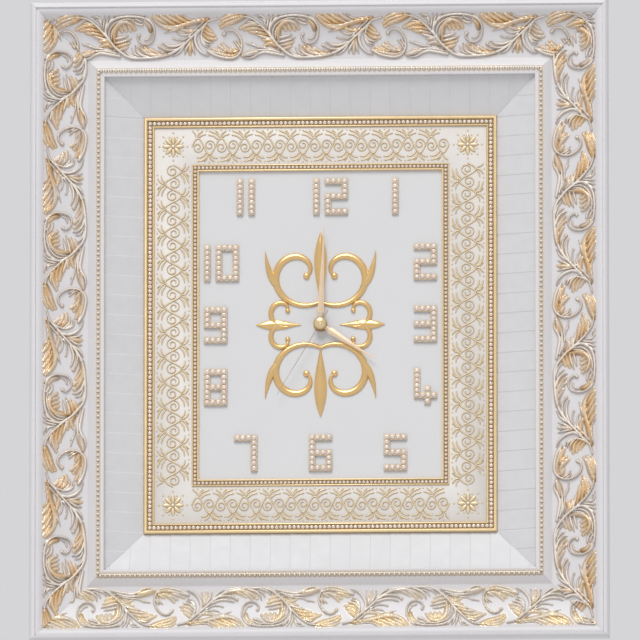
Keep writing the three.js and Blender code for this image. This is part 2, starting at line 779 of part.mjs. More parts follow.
for (const [name, figure, x, y] of numerals) {
  const strokes = figure.map((bar) => block(...bars[bar], 0, numeralThickness));
  const geometry = strokes.length > 1 ? join(strokes) : strokes[0];
  add(name, geometry, rhinestone).position.set(x, y, onDial);
}

// A stroke of the ornament: a swelling, tapered plate about a centre line. The line is a function that
// gives a place from 0 to 1, and the swell is a function that gives the half width there.
function stroke(line, swell, steps) {
  const left = [];
  const right = [];
  for (let i = 0; i <= steps; i += 1) {
    const t = i / steps;
    const [x, y] = line(t);
    const [aheadX, aheadY] = line(t + strokeProbe);
    const length = Math.hypot(aheadX - x, aheadY - y);
    const across = [-(aheadY - y) / length, (aheadX - x) / length];
    const half = swell(t);
    left.push([x + across[0] * half, y + across[1] * half]);
    right.unshift([x - across[0] * half, y - across[1] * half]);
  }
  return plate(shapeOf([...right, ...left]), 0, ornamentThickness);
}

// A scroll winds in from its start to a ball near its eye. Its radii are shares of the ornament's height.
function scroll([eyeX, eyeY], [startShare, endShare], [startDegrees, endDegrees], width, flipX, flipY) {
  const line = (t) => {
    const [x, y] = polar(startShare + (endShare - startShare) * t, startDegrees + (endDegrees - startDegrees) * t);
    return [flipX * (eyeX + x * scrollRoundShare * ornamentWidth), flipY * (eyeY + y * ornamentHeight)];
  };
  const swell = (t) => width * (scrollEndShare + (1 - scrollEndShare) * Math.sin(Math.PI * (0.1 + 0.9 * t))) / 2;
  const [ballX, ballY] = line(1);
  const ball = rod(width * ballShare / 2, 0, ornamentThickness).translate(ballX, ballY, 0);
  return [stroke(line, swell, scrollSteps), ball];
}

// A bud is straight and widest past its middle, and a leaf bends on its way to the tip
function bud([startX, startY], [tipX, tipY], width) {
  const line = (t) => [startX + (tipX - startX) * t, startY + (tipY - startY) * t];
  const swell = (t) => width * (budEndShare + (1 - budEndShare) * Math.sin(Math.PI * t ** 1.3)) / 2;
  return [stroke(line, swell, leafSteps)];
}

function leaf([startX, startY], [bendX, bendY], [tipX, tipY], width) {
  const curve = new THREE.QuadraticBezierCurve(
    new THREE.Vector2(startX, startY),
    new THREE.Vector2(bendX, bendY),
    new THREE.Vector2(tipX, tipY),
  );
  const line = (t) => curve.getPoint(t).toArray();
  const swell = (t) => width * (budEndShare + (1 - budEndShare) * Math.sin(Math.PI * (0.25 + 0.75 * t))) / 2;
  return [stroke(line, swell, leafSteps)];
}

// Places in the ornament are shares of its size
function at(shareX, shareY) {
  return [shareX * ornamentWidth, shareY * ornamentHeight];
}

function uprightSpray(flipY) {
  const strokes = [...bud(at(0, flipY * 0.12), at(0, flipY * 0.5), budWidth)];
  for (const flipX of [-1, 1]) {
    strokes.push(...scroll(at(0.155, 0.28), [0.189, 0.035], [-125, 205], strokeWidth, flipX, flipY));
    strokes.push(...leaf(at(flipX * 0.28, flipY * 0.21), at(flipX * 0.41, flipY * 0.26),
      at(flipX * 0.43, flipY * 0.4), strokeWidth));
  }
  return join(strokes);
}

function sidewaysSpray(flipX) {
  const strokes = [...bud(at(flipX * 0.15, 0), at(flipX * 0.5, 0), smallBudWidth)];
  for (const flipY of [-1, 1]) {
    strokes.push(...scroll(at(0.29, 0.075), [0.089, 0.024], [-138, 175], thinStrokeWidth, flipX, flipY));
  }
  return join(strokes);
}

const sprays = [
  ['ornament_top_spray', uprightSpray(1)],
  ['ornament_bottom_spray', uprightSpray(-1)],
  ['ornament_left_spray', sidewaysSpray(-1)],
  ['ornament_right_spray', sidewaysSpray(1)],
];
for (const [name, geometry] of sprays) {
  add(name, geometry, polishedGold).position.z = onDial;
}

// Hands: drawn upright, then turned clockwise to the time
function turnClockwise(mesh, degrees) {
  mesh.rotation.z = -THREE.MathUtils.degToRad(degrees);
  return mesh;
}

function broadHand(length, boreRadius) {
  const hub = turned([
    [boreRadius, 0],
    [handHubRadius, 0],
    [handHubRadius, handThickness],
    [boreRadius, handThickness],
    [boreRadius, 0],
  ], roundSides);
  const neckStart = (boreRadius + handHubRadius) / 2;
  const bladeStart = handCollarRadius + handCollarLength;
  const blade = plate(shapeOf([
    [-handNeckWidth / 2, neckStart],
    [handNeckWidth / 2, neckStart],
    [handNeckWidth / 2, handCollarRadius],
    [handWidth / 2, handCollarRadius],
    [handWidth / 2, bladeStart],
    [handTipWidth / 2, length - handTipWidth],
    [0, length],
    [-handTipWidth / 2, length - handTipWidth],
    [-handWidth / 2, bladeStart],
    [-handWidth / 2, handCollarRadius],
    [-handNeckWidth / 2, handCollarRadius],
  ]), 0, handThickness);
  return join([hub, blade]);
}

const hourHand = add('hour_hand', broadHand(hourHandLength, hourPipeRadius + glueGap), satinGold);
turnClockwise(hourHand, hourHandDegrees).position.z = hourHandBack;
const minuteHand = add('minute_hand', broadHand(minuteHandLength, minutePipeRadius + glueGap), satinGold);
turnClockwise(minuteHand, minuteHandDegrees).position.z = minuteHandBack;

// Second hand: a needle with a tail on a small hub and bush
const needle = plate(shapeOf([
  [-secondHandWidth / 2, -secondHandTail],
  [secondHandWidth / 2, -secondHandTail],
  [secondHandWidth / 2, 0],
  [secondHandWidth / 4, secondHandLength],
  [-secondHandWidth / 4, secondHandLength],
  [-secondHandWidth / 2, 0],
]), 0, secondHandThickness);
const secondBush = rod(secondBushRadius, 0, secondBushHeight, roundSides);
const secondHub = rod(secondHandHubRadius, 0, secondHandThickness, roundSides);
const secondBore = rod(secondsArborRadius + glueGap, -cutOverrun, secondBushHeight + cutOverrun);
const secondHand = add('second_hand', cut(join([needle, secondHub, secondBush]), [secondBore]), satinGold);
turnClockwise(secondHand, secondHandDegrees).position.z = secondHandBack;

// Hub cap: a dome over the second hand's bush
function hubCapProfile() {
  const profile = [[0, secondBushHeight + hubCapSeatClearance - secondHandThickness]];
  profile.push([secondBushRadius + glueGap, secondBushHeight + hubCapSeatClearance - secondHandThickness]);
  profile.push([secondBushRadius + glueGap, 0]);
  profile.push([hubCapRadius, 0]);
  const domeSteps = 5;
  for (let i = 0; i <= domeSteps; i += 1) {
    const angle = (i / domeSteps) * Math.PI / 2;
    profile.push([hubCapRadius * Math.cos(angle), hubCapEdge + hubCapDome * Math.sin(angle)]);
  }
  profile[profile.length - 1][0] = 0;
  return profile;
}
add('hub_cap', turned(hubCapProfile(), roundSides), polishedGold).position.z = hubCapBack;

// Fasteners of the movement on the dial's side
const washer = turned([
  [shaftHole, 0],
  [washerRadius, 0],
  [washerRadius, washerThickness],
  [shaftHole, washerThickness],
  [shaftHole, 0],
], roundSides);
add('washer', washer, brass).position.z = washerBack;

const nutRadius = nutAcrossFlats / 2 / Math.cos(Math.PI / nutSides);
const nutBore = rod(shaftHole, -cutOverrun, nutThickness + cutOverrun, roundSides);
add('hex_nut', cut(rod(nutRadius, 0, nutThickness, nutSides), [nutBore]), brass).position.z = nutBack;

const gasketHole = rod(shaftHole, -cutOverrun, gasketThickness + cutOverrun, roundSides);
const gasket = cut(
  block(-gasketWidth / 2, gasketWidth / 2, -gasketWidth / 2, gasketWidth / 2, 0, gasketThickness),
  [gasketHole],
);
add('rubber_gasket', gasket, rubber).position.z = gasketFront - gasketThickness;

// Movement case: a front shell with the threaded bushing, and a back shell with the battery bay
const [motionX, motionY] = polar((cannonTeeth + motionTeeth) * motionModule / 2, motionWheelDegrees);

const frontShell = join([
  block(caseLeft, caseRight, caseBottom, caseTop, caseJoint + glueGap, caseFront),
  rod(bushingRadius, roomFront, bushingFront, roundSides),
]);
const frontShellCuts = [
  block(-roomHalfWidth, roomHalfWidth, bayBottom, roomTop, caseJoint - cutOverrun, roomFront),
  rod(bushingBoreRadius, roomFront - cutOverrun, bushingFront + cutOverrun, roundSides),
];
add('case_front', cut(frontShell, frontShellCuts), blackPlastic);

const backShell = block(caseLeft, caseRight, caseBottom, caseTop, caseBack, caseJoint);
const knobHole = rod(knobStemRadius + clearance, caseBack - cutOverrun, roomBack + cutOverrun);
const backShellCuts = [
  block(-roomHalfWidth, roomHalfWidth, -bayWallDrop, roomTop, roomBack, caseJoint + cutOverrun),
  block(-roomHalfWidth, roomHalfWidth, bayBottom, bayTop, caseBack - cutOverrun, caseJoint + cutOverrun),
  knobHole.translate(motionX, motionY, 0),
];
add('case_back', cut(backShell, backShellCuts), blackPlastic);

// Gears: straight-sided teeth, one of them centred on the given angle
function gearShape(teeth, module, toothShare, toothDegrees) {
  const pitch = 2 * Math.PI / teeth;
  const tip = teeth * module / 2 + toothAddendumShare * module;
  const root = teeth * module / 2 - toothDedendumShare * module;
  const half = toothShare * pitch / 2;
  const first = THREE.MathUtils.degToRad(toothDegrees);
  const points = [];
  for (let tooth = 0; tooth < teeth; tooth += 1) {
    const middle = first + tooth * pitch;
    const corners = [[root, -toothRootShare], [tip, -toothTipShare], [tip, toothTipShare], [root, toothRootShare]];
    for (const [radius, share] of corners) {
      const angle = middle + share * half;
      points.push([radius * Math.cos(angle), radius * Math.sin(angle)]);
    }
  }
  return shapeOf(points);
}

// Layers are counted from the front of the case to the back
function layer(number) {
  return roomFront - firstLayerInset - number * layerPitch;
}

function wheelPlate(teeth, module, degrees, number) {
  const middle = layer(number);
  const shape = gearShape(teeth, module, wheelToothShare, degrees + 180 + 180 / teeth);
  return plate(shape, middle - wheelThickness / 2, middle + wheelThickness / 2);
}

function pinionPlate(teeth, module, degrees, number) {
  const middle = layer(number);
  const shape = gearShape(teeth, module, pinionToothShare, degrees);
  return plate(shape, middle - pinionThickness / 2, middle + pinionThickness / 2);
}

function centreDistance(teeth, otherTeeth, module) {
  return (teeth + otherTeeth) * module / 2;
}

// Centre distances, and the modules that follow where two meshes share one
const thirdDistance = centreDistance(secondsPinionTeeth, thirdTeeth, thirdModule);
const centreModule = 2 * thirdDistance / (thirdPinionTeeth + centreTeeth);
const motionDistance = centreDistance(cannonTeeth, motionTeeth, motionModule);
const hourModule = 2 * motionDistance / (motionPinionTeeth + hourTeeth);
const intermediateDistance = centreDistance(intermediatePinionTeeth, secondsTeeth, secondsModule);
const rotorDistance = centreDistance(rotorTeeth, intermediateTeeth, rotorModule);
const [thirdX, thirdY] = polar(thirdDistance, thirdWheelDegrees);
const [intermediateX, intermediateY] = polar(intermediateDistance, intermediateDegrees);
const [rotorStepX, rotorStepY] = polar(rotorDistance, rotorDegrees);
const rotorX = intermediateX + rotorStepX;
const rotorY = intermediateY + rotorStepY;

// Seconds wheel on its long arbor, which carries the second hand
const secondsArborFront = secondHandBack + secondBushHeight;
add('seconds_wheel', join([
  rod(secondsArborRadius, arborBack, secondsArborFront),
  wheelPlate(secondsTeeth, secondsModule, intermediateDegrees + 180, 4),
  pinionPlate(secondsPinionTeeth, thirdModule, thirdWheelDegrees, 3),
]), clearWheelWhite);

// Intermediate wheel, driven by the rotor
add('intermediate_wheel', join([
  rod(arborRadius, arborBack, arborFront),
  pinionPlate(intermediatePinionTeeth, secondsModule, intermediateDegrees + 180, 4),
  wheelPlate(intermediateTeeth, rotorModule, rotorDegrees + 180, 5),
]), clearWheelWhite).position.set(intermediateX, intermediateY, 0);

// Rotor: a round magnet and its pinion
const rotorMiddle = (layer(3) + layer(2)) / 2 - layerPitch / 4;
add('stepping_rotor', join([
  rod(arborRadius, arborBack, arborFront),
  pinionPlate(rotorTeeth, rotorModule, rotorDegrees + 180, 5),
  rod(magnetRadius, rotorMiddle - magnetLength / 2, rotorMiddle + magnetLength / 2, roundSides),
]), steel).position.set(rotorX, rotorY, 0);

// Third wheel, between the seconds wheel and the centre wheel
add('third_wheel', join([
  rod(arborRadius, arborBack, arborFront),
  wheelPlate(thirdTeeth, thirdModule, thirdWheelDegrees, 3),
  pinionPlate(thirdPinionTeeth, centreModule, thirdWheelDegrees + 180, 2),
]), clearWheelWhite).position.set(thirdX, thirdY, 0);

// Centre wheel with the minute pipe and the cannon pinion
const minutePipeBack = layer(2) - pinionThickness / 2;
const minutePipeFront = minuteHandBack + handThickness + clearance;
add('centre_wheel', cut(join([
  rod(minutePipeRadius, minutePipeBack, minutePipeFront),
  wheelPlate(centreTeeth, centreModule, thirdWheelDegrees + 180, 2),
  pinionPlate(cannonTeeth, motionModule, motionWheelDegrees, 1),
]), [rod(minutePipeBore, minutePipeBack - cutOverrun, minutePipeFront + cutOverrun)]), clearWheelWhite);

// Motion wheel, which gears the minute pipe down to the hour wheel
add('motion_wheel', join([
  rod(motionArborRadius, arborBack, arborFront),
  wheelPlate(motionTeeth, motionModule, motionWheelDegrees, 1),
  pinionPlate(motionPinionTeeth, hourModule, motionWheelDegrees + 180, 0),
]), clearWheelWhite).position.set(motionX, motionY, 0);

// Hour wheel with the hour pipe
const hourPipeBack = layer(0) - wheelThickness / 2;
const hourPipeFront = hourHandBack + handThickness + clearance;
add('hour_wheel', cut(join([
  rod(hourPipeRadius, hourPipeBack, hourPipeFront),
  wheelPlate(hourTeeth, hourModule, motionWheelDegrees + 180, 0),
]), [rod(hourPipeBore, hourPipeBack - cutOverrun, hourPipeFront + cutOverrun)]), clearWheelWhite);

// Setting knob, on the back end of the motion wheel's arbor
const knobFront = caseBack - clearance;
const knobProfile = [
  [0, knobFront - knobThickness],
  [knobRadius, knobFront - knobThickness],
  [knobRadius, knobFront],
  [knobStemRadius, knobFront],
  [knobStemRadius, arborBack - glueGap],
  [0, arborBack - glueGap],
];
add('setting_knob', turned(knobProfile, roundSides), clearWheelWhite).position.set(motionX, motionY, 0);

// Stator: a plate with a hole round the rotor and an arm that carries the coil
const statorBack = rotorMiddle - statorThickness / 2;
const statorFront = rotorMiddle + statorThickness / 2;
const coilStart = coilMiddle - coilLength / 2;
const coilEnd = coilMiddle + coilLength / 2;
const coreEnd = coilEnd + coreWidth;
const stator = join([
  rod(statorRingRadius, statorBack, statorFront, roundSides).translate(rotorX, rotorY, 0),
  block(rotorX - statorRingRadius, rotorX + statorRingRadius, rotorY, coilRise + coreWidth / 2,
    statorBack, statorFront),
  block(rotorX, coreEnd, coilRise - coreWidth / 2, coilRise + coreWidth / 2, statorBack, statorFront),
]);
const rotorHole = rod(magnetRadius + clearance, statorBack - cutOverrun, statorFront + cutOverrun, roundSides);
add('motor_stator', cut(stator, [rotorHole.translate(rotorX, rotorY, 0)]), steel);

// Coil: a wound bobbin on the stator's arm
const coilBore = [
  coilStart - cutOverrun,
  coilEnd + cutOverrun,
  -coreWidth / 2 - glueGap,
  coreWidth / 2 + glueGap,
  -statorThickness / 2 - glueGap,
  statorThickness / 2 + glueGap,
];
const coil = new THREE.CylinderGeometry(coilRadius, coilRadius, coilLength, roundSides);
coil.rotateZ(Math.PI / 2).translate(coilMiddle, 0, 0);
add('motor_coil', cut(coil, [block(...coilBore)]), copper).position.set(0, coilRise, rotorMiddle);

// Circuit board, on the back shell's wall
const circuitRight = roomHalfWidth - clearance;
const circuitTop = roomTop - clearance;
add('circuit_board', block(circuitRight - circuitBoardWidth, circuitRight,
  circuitTop - circuitBoardHeight, circuitTop, arborBack, arborBack + circuitBoardThickness), circuitGreen);

// Battery lying across the bay, with its positive nub to the right, and a contact at each end
const batteryRise = bayTop - clearance - batteryRadius;
const batteryMiddle = caseBack + clearance + batteryRadius;
const batteryBody = turned([
  [0, 0],
  [batteryRadius, 0],
  [batteryRadius, batteryLength],
  [batteryNubRadius, batteryLength],
  [batteryNubRadius, batteryLength + batteryNubLength],
  [0, batteryLength + batteryNubLength],
], roundSides);
batteryBody.rotateY(Math.PI / 2).translate(-batteryHalfLength, 0, 0);
add('battery', batteryBody, cellBlue).position.set(0, batteryRise, batteryMiddle);

// A contact: a plate against the wall and a spring cone that reaches the cell
function contact() {
  const cone = turned([
    [0, -contactThickness / 2],
    [contactWidth / 3, -contactThickness / 2],
    [contactWidth / 6, contactReach],
    [0, contactReach],
  ], shaftSides);
  const backPlate = block(-contactWidth / 2, contactWidth / 2, -contactWidth / 2, contactWidth / 2,
    -contactThickness, 0);
  return join([cone, backPlate]);
}
const positiveContact = contact().rotateY(-Math.PI / 2);
const negativeContact = contact().rotateY(Math.PI / 2);
add('battery_contact_positive', positiveContact, steel).position.set(contactPlace, batteryRise, batteryMiddle);
add('battery_contact_negative', negativeContact, steel).position.set(-contactPlace, batteryRise, batteryMiddle);

// Hanger plate with a keyhole for the nail, whose slot ends at the origin
const hangerFront = hangerRecessDepth - glueGap;
const hangerBack = hangerFront - hangerThickness;
const hangerCuts = [
  rod(nailHeadRadius, hangerBack - cutOverrun, hangerFront + cutOverrun, shaftSides)
    .translate(0, -nailSlotRadius - nailHeadRadius / 2, 0),
  rod(nailSlotRadius, hangerBack - cutOverrun, hangerFront + cutOverrun, shaftSides),
];
for (const side of [-1, 1]) {
  const hole = rod(screwShankRadius + clearance, hangerBack - cutOverrun, hangerFront + cutOverrun);
  hangerCuts.push(hole.translate(side * screwSpacing / 2, 0, 0));
}
const hangerPlate = cut(
  block(-hangerWidth / 2, hangerWidth / 2, -hangerHeight / 2, hangerHeight / 2, hangerBack, hangerFront),
  hangerCuts,
);
add('hanger_plate', hangerPlate, steel, clock);

const screwHeadFront = hangerBack - glueGap;
const screwProfile = [
  [0, screwHeadFront - screwHeadThickness],
  [screwHeadRadius, screwHeadFront - screwHeadThickness],
  [screwHeadRadius, screwHeadFront],
  [screwShankRadius, screwHeadFront],
  [screwShankRadius, screwHeadFront + screwLength],
  [0, screwHeadFront + screwLength],
];
for (const [name, side] of [['left', -1], ['right', 1]]) {
  const screw = add(`hanger_screw_${name}`, turned(screwProfile, shaftSides), steel, clock);
  screw.position.x = side * screwSpacing / 2;
}

export default clock;
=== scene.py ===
import math
import random

import bmesh
import bpy
import numpy as np
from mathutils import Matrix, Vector


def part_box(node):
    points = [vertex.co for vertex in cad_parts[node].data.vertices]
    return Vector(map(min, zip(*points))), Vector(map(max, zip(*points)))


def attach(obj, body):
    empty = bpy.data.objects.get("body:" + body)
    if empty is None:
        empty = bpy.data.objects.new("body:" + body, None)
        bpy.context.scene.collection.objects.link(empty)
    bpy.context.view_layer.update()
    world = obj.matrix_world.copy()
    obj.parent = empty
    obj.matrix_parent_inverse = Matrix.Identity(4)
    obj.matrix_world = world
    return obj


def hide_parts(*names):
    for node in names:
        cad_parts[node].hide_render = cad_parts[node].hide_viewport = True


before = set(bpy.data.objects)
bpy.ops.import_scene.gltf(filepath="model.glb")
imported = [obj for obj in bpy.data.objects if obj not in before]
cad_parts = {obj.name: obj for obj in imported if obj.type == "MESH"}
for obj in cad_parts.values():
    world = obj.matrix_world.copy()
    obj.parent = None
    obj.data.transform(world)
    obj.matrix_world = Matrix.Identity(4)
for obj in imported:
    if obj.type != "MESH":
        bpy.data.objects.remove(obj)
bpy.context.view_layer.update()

# A large wall clock: carved white and gold frame, sloped liner, trimmed dial and a quartz movement.
# Points are drawn in millimetres as seen from the front, about the dial's middle: x to the right,
# y up, and h the height above the wall.
MM = 0.001
CENTRE_Z = sum(corner.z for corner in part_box("dial_board")) / 2


def drawn_box(node):
    """(left, bottom, back) and (right, top, front) of a CAD node in drawn millimetres."""
    low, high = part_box(node)
    return (
        (low.x / MM, (low.z - CENTRE_Z) / MM, -high.y / MM),
        (high.x / MM, (high.z - CENTRE_Z) / MM, -low.y / MM),
    )


def outer_size(node):
    low, high = drawn_box(node)
    return high[0] - low[0], high[1] - low[1]


# Frame sizes. A place on a rail's section is [distance in from the frame's outer edge, height].
MITRE_GAP = 0.3
SEEN_GAP = 0.1
MITRE_RETREAT = SEEN_GAP / math.sqrt(2)
FRAME_WIDTH = outer_size("frame_rail_bottom")[0] + MITRE_GAP * math.sqrt(2)
FRAME_HEIGHT = outer_size("frame_rail_left")[1] + MITRE_GAP * math.sqrt(2)
FRAME_DEPTH = drawn_box("frame_rail_bottom")[1][2]
SIDE_UNDERCUT = 9.5
SHOULDER = (4.4, 8.5)
RIM_END = 5.8
STEP_END = 6.5
FILLET_END = 8.9
FILLET_HEIGHT = 59.4
COVE_START = (14.7, 53.4)
COVE_END = (57.4, 42)
RISER_END = (64.5, 45.6)
BEAD_SEAT_HEIGHT = 45.6
BEAD_RIDGE = (65.7, 70.1)
RIDGE_ROUND_SHARE = 0.9
RIDGE_RISE = 0.7
LIP_END = 74
LIP_ROUND = 1.3
LIP_UNDERSIDE = 41
RABBET = 58
CARVED = (12.4, 59.6)
# Each side: quarter turns from the bottom, length, the frame's size across it, and the carving's start
SIDES = {
    "bottom": (0, FRAME_WIDTH, FRAME_HEIGHT, 119.8),
    "right": (1, FRAME_HEIGHT, FRAME_WIDTH, -5.6),
    "top": (2, FRAME_WIDTH, FRAME_HEIGHT, 361.8),
    "left": (3, FRAME_HEIGHT, FRAME_WIDTH, 447.1),
}


# Finishes
NOISE_RANGE = (0.3, 0.7)
CELL_BARE_END = 23.6
CELL_BAND = 14
WIRE_PITCH = 0.35


class Finish:
    """A procedural material: a Principled shader with a few helpers for the nodes that feed it."""

    def __init__(self, name, metallic=0.0, coat=0.0):
        self.material = bpy.data.materials.new(name)
        self.material.use_nodes = True
        self.tree = self.material.node_tree
        self.shader = self.tree.nodes["Principled BSDF"]
        self.shader.inputs["Metallic"].default_value = metallic
        self.shader.inputs["Coat Weight"].default_value = coat
        self.place = self.node("TexCoord").outputs["Object"]

    def node(self, kind):
        return self.tree.nodes.new(f"ShaderNode{kind}")

    def put(self, socket, value):
        """Links a node's output to a socket, or sets the socket to a number or a colour."""
        if isinstance(value, bpy.types.NodeSocket):
            self.tree.links.new(value, socket)
        elif hasattr(value, "__len__"):
            socket.default_value = (*value, 1)
        else:
            socket.default_value = value

    def noise(self, scale, detail=3.0, stretch=None):
        node = self.node("TexNoise")
        node.inputs["Scale"].default_value = scale
        node.inputs["Detail"].default_value = detail
        place = self.place
        if stretch:
            mapping = self.node("Mapping")
            mapping.inputs["Scale"].default_value = stretch
            self.put(mapping.inputs["Vector"], place)
            place = mapping.outputs["Vector"]
        self.put(node.inputs["Vector"], place)
        return node.outputs["Fac"]

    def mark(self, name):
        node = self.node("Attribute")
        node.attribute_name = name
        return node.outputs["Fac"]

    def along_x(self):
        split = self.node("SeparateXYZ")
        self.put(split.inputs[0], self.place)
        return split.outputs["X"]

    def math(self, operation, first, second=0.0, clamp=False):
        node = self.node("Math")
        node.operation = operation
        node.use_clamp = clamp
        self.put(node.inputs[0], first)
        self.put(node.inputs[1], second)
        return node.outputs[0]

    def spread(self, value, low, high, to_low=0.0, to_high=1.0):
        node = self.node("MapRange")
        self.put(node.inputs["Value"], value)
        limits = {"From Min": low, "From Max": high, "To Min": to_low, "To Max": to_high}
        for socket, number in limits.items():
            node.inputs[socket].default_value = number
        return node.outputs["Result"]

    def mix(self, share, first, second):
        node = self.node("Mix")
        node.data_type = "RGBA"
        self.put(node.inputs["Factor"], share)
        self.put(node.inputs["A"], first)
        self.put(node.inputs["B"], second)
        return node.outputs["Result"]

    def feed(self, socket, value):
        self.tree.links.new(value, self.shader.inputs[socket])

    def rough(self, cloud, low, high):
        """Roughness that wanders between two values with a cloud of noise."""
        self.feed("Roughness", self.spread(cloud, *NOISE_RANGE, low, high))

    def bump(self, height, strength, distance):
        node = self.node("Bump")
        node.inputs["Strength"].default_value = strength
        node.inputs["Distance"].default_value = distance
        self.put(node.inputs["Height"], height)
        self.feed("Normal", node.outputs["Normal"])


def shade(colour, share):
    return tuple(channel * share for channel in colour)


def plain(name, colour, roughness, metallic=0.0, patch=0.05, scale=60.0, grain=0.0):
    """A finish of one colour that varies a little, with an optional fine grain."""
    finish = Finish(name, metallic)
    cloud = finish.noise(scale)
    finish.feed("Base Color", finish.mix(cloud, shade(colour, 1 - patch), shade(colour, 1 + patch)))
    finish.rough(cloud, roughness * 0.88, roughness * 1.12)
    if grain:
        finish.bump(finish.noise(1800), grain, 0.0002)
    return finish.material


def carved_lacquer(name, ground, ridge, crest, ochre, brown, shadow):
    """White lacquer with gold rubbed over the carving, painted shade and brown glaze in its hollows, and
    painted highlights on its crests.
    """
    finish = Finish(name)
    flank = finish.mark("flank")
    patches = finish.spread(finish.noise(55, 2), 0.35, 0.65, 0.4, 1.1)
    gold = finish.math("MULTIPLY", finish.mark("gold"), patches, True)
    on_stroke = finish.spread(finish.mark("gold"), 0.12, 0.26)
    # Painted highlight: the crests of strokes go pale
    crest_highlight = finish.math("MULTIPLY", on_stroke, finish.spread(flank, 0.3, 0.0))
    lacquer = finish.mix(finish.noise(30), shade(ground, 0.97), shade(ground, 1.03))
    lacquer = finish.mix(crest_highlight, lacquer, ridge)
    # Painted shade: the lacquer darkens towards the shadow colour with the mark
    lacquer = finish.mix(finish.math("MULTIPLY", flank, 0.72), lacquer, shadow)
    # The gilding is pale on crests as a painted highlight and brown in hollows as painted shade with some
    # brown glaze
    gilding = finish.mix(finish.spread(flank, 0.0, 0.5), crest, ochre)
    gilding = finish.mix(finish.spread(flank, 0.5, 1.0), gilding, brown)
    finish.feed("Base Color", finish.mix(gold, lacquer, gilding))
    finish.feed("Metallic", finish.math("MULTIPLY", gold, 0.4))
    finish.feed("Roughness", finish.spread(gold, 0, 0.3, 0.42, 0.24))
    return finish.material


def marked(name, mark, low, high, roughness, metallic=0.0):
    """A finish that goes from one colour to another with a mark on the mesh."""
    finish = Finish(name, metallic)
    cloud = finish.noise(90)
    low, high = [finish.mix(cloud, shade(colour, 0.95), shade(colour, 1.04)) for colour in (low, high)]
    finish.feed("Base Color", finish.mix(finish.mark(mark), low, high))
    finish.rough(cloud, roughness * 0.85, roughness * 1.15)
    return finish.material


def stone_glass(name, roughness, metallic, bright, deep, coat):
    """Foil-backed glass stones: each facet has its own tone, a painted glint, and each stone its own tint.
    """
    finish = Finish(name, metallic, coat)
    rosy = finish.mark("tint")
    bright = finish.mix(rosy, bright, (bright[0], bright[1] * 0.93, bright[2] * 0.91))
    deep = finish.mix(rosy, deep, (deep[0] * 1.05, deep[1] * 0.97, deep[2] * 1.06))
    # Painted glints: facets mix from deep to bright by their tone
    finish.feed("Base Color", finish.mix(finish.mark("tone_and_glint"), deep, bright))
    finish.rough(finish.noise(400), roughness * 0.7, roughness * 1.5)
    return finish.material


def cell_sleeve():
    """The cell's plain blue sleeve with a grey band, and bare steel at both ends."""
    finish = Finish("cell_sleeve")
    x = finish.along_x()
    ends = finish.math("GREATER_THAN", finish.math("ABSOLUTE", x), CELL_BARE_END * MM)
    band = finish.math("GREATER_THAN", x, CELL_BAND * MM)
    sleeve = finish.mix(band, (0.05, 0.12, 0.32), (0.62, 0.63, 0.66))
    finish.feed("Base Color", finish.mix(ends, sleeve, (0.55, 0.56, 0.58)))
    finish.feed("Metallic", ends)
    finish.rough(finish.noise(300), 0.25, 0.35)
    return finish.material


def fibreboard():
    finish = Finish("fibreboard")
    fibre = finish.noise(900, 4, (1.0, 1.0, 0.35))
    brown = finish.mix(finish.noise(18), (0.30, 0.19, 0.105), (0.38, 0.25, 0.15))
    finish.feed("Base Color", finish.mix(finish.math("MULTIPLY", fibre, 0.5), brown, (0.46, 0.33, 0.21)))
    finish.rough(fibre, 0.78, 0.92)
    finish.bump(fibre, 0.3, 0.0003)
    return finish.material


def wound_copper():
    finish = Finish("wound_copper", 0.8)
    turn = finish.math("SINE", finish.math("MULTIPLY", finish.along_x(), 2 * math.pi / (WIRE_PITCH * MM)))
    finish.feed("Base Color", finish.mix(finish.spread(turn, -1, 1), (0.40, 0.13, 0.05), (0.72, 0.32, 0.16)))
    finish.rough(finish.noise(200), 0.3, 0.42)
    finish.bump(turn, 0.5, 0.0001)
    return finish.material


def printed_board():
    finish = Finish("printed_board")
    tracks = finish.node("TexBrick")
    tracks.inputs["Scale"].default_value = 400
    finish.put(tracks.inputs["Vector"], finish.place)
    finish.put(tracks.inputs["Color1"], (0.03, 0.16, 0.06))
    finish.put(tracks.inputs["Color2"], (0.04, 0.20, 0.08))
    finish.put(tracks.inputs["Mortar"], (0.10, 0.30, 0.12))
    finish.feed("Base Color", tracks.outputs["Color"])
    finish.rough(finish.noise(500), 0.42, 0.58)
    return finish.material


# Copies of one carved lacquer toned for how light falls: the bottom rail faces up into the key light, so a
# darker ground and paler painted shade
CARVING_SHADED_FOR_BOTTOM = carved_lacquer(
    "carving_shaded_for_bottom", ground=(0.67, 0.655, 0.672), ridge=(0.84, 0.78, 0.71), crest=(1.0, 0.93, 0.78),
    ochre=(0.85, 0.68, 0.43), brown=(0.42, 0.30, 0.16), shadow=(0.53, 0.45, 0.39),
)
# The top and side rails get a lighter ground and crests and darker painted shade
CARVING_SHADED_FOR_TOP_AND_SIDES = carved_lacquer(
    "carving_shaded_for_top_and_sides", ground=(0.725, 0.71, 0.728), ridge=(1.0, 0.94, 0.87), crest=(1.0, 0.93, 0.78),
    ochre=(0.74, 0.51, 0.28), brown=(0.23, 0.14, 0.06), shadow=(0.33, 0.255, 0.20),
)
# Bead gold darkens to deep brown with the mark: painted shade between the beads and at their foot
BEAD_GOLD = marked("bead_gold", "flank", (0.90, 0.83, 0.70), (0.37, 0.28, 0.17), 0.35, 0.2)
LINER_LACQUER = marked("liner_lacquer", "tone_and_glint", (0.60, 0.598, 0.61), (0.67, 0.667, 0.68), 0.5)
DIAL_LACQUER = plain("dial_lacquer", (0.70, 0.70, 0.71), 0.5, patch=0.015, scale=20, grain=0.04)
BAND_LACQUER = plain("band_lacquer", (0.775, 0.74, 0.70), 0.45, patch=0.02, scale=25)
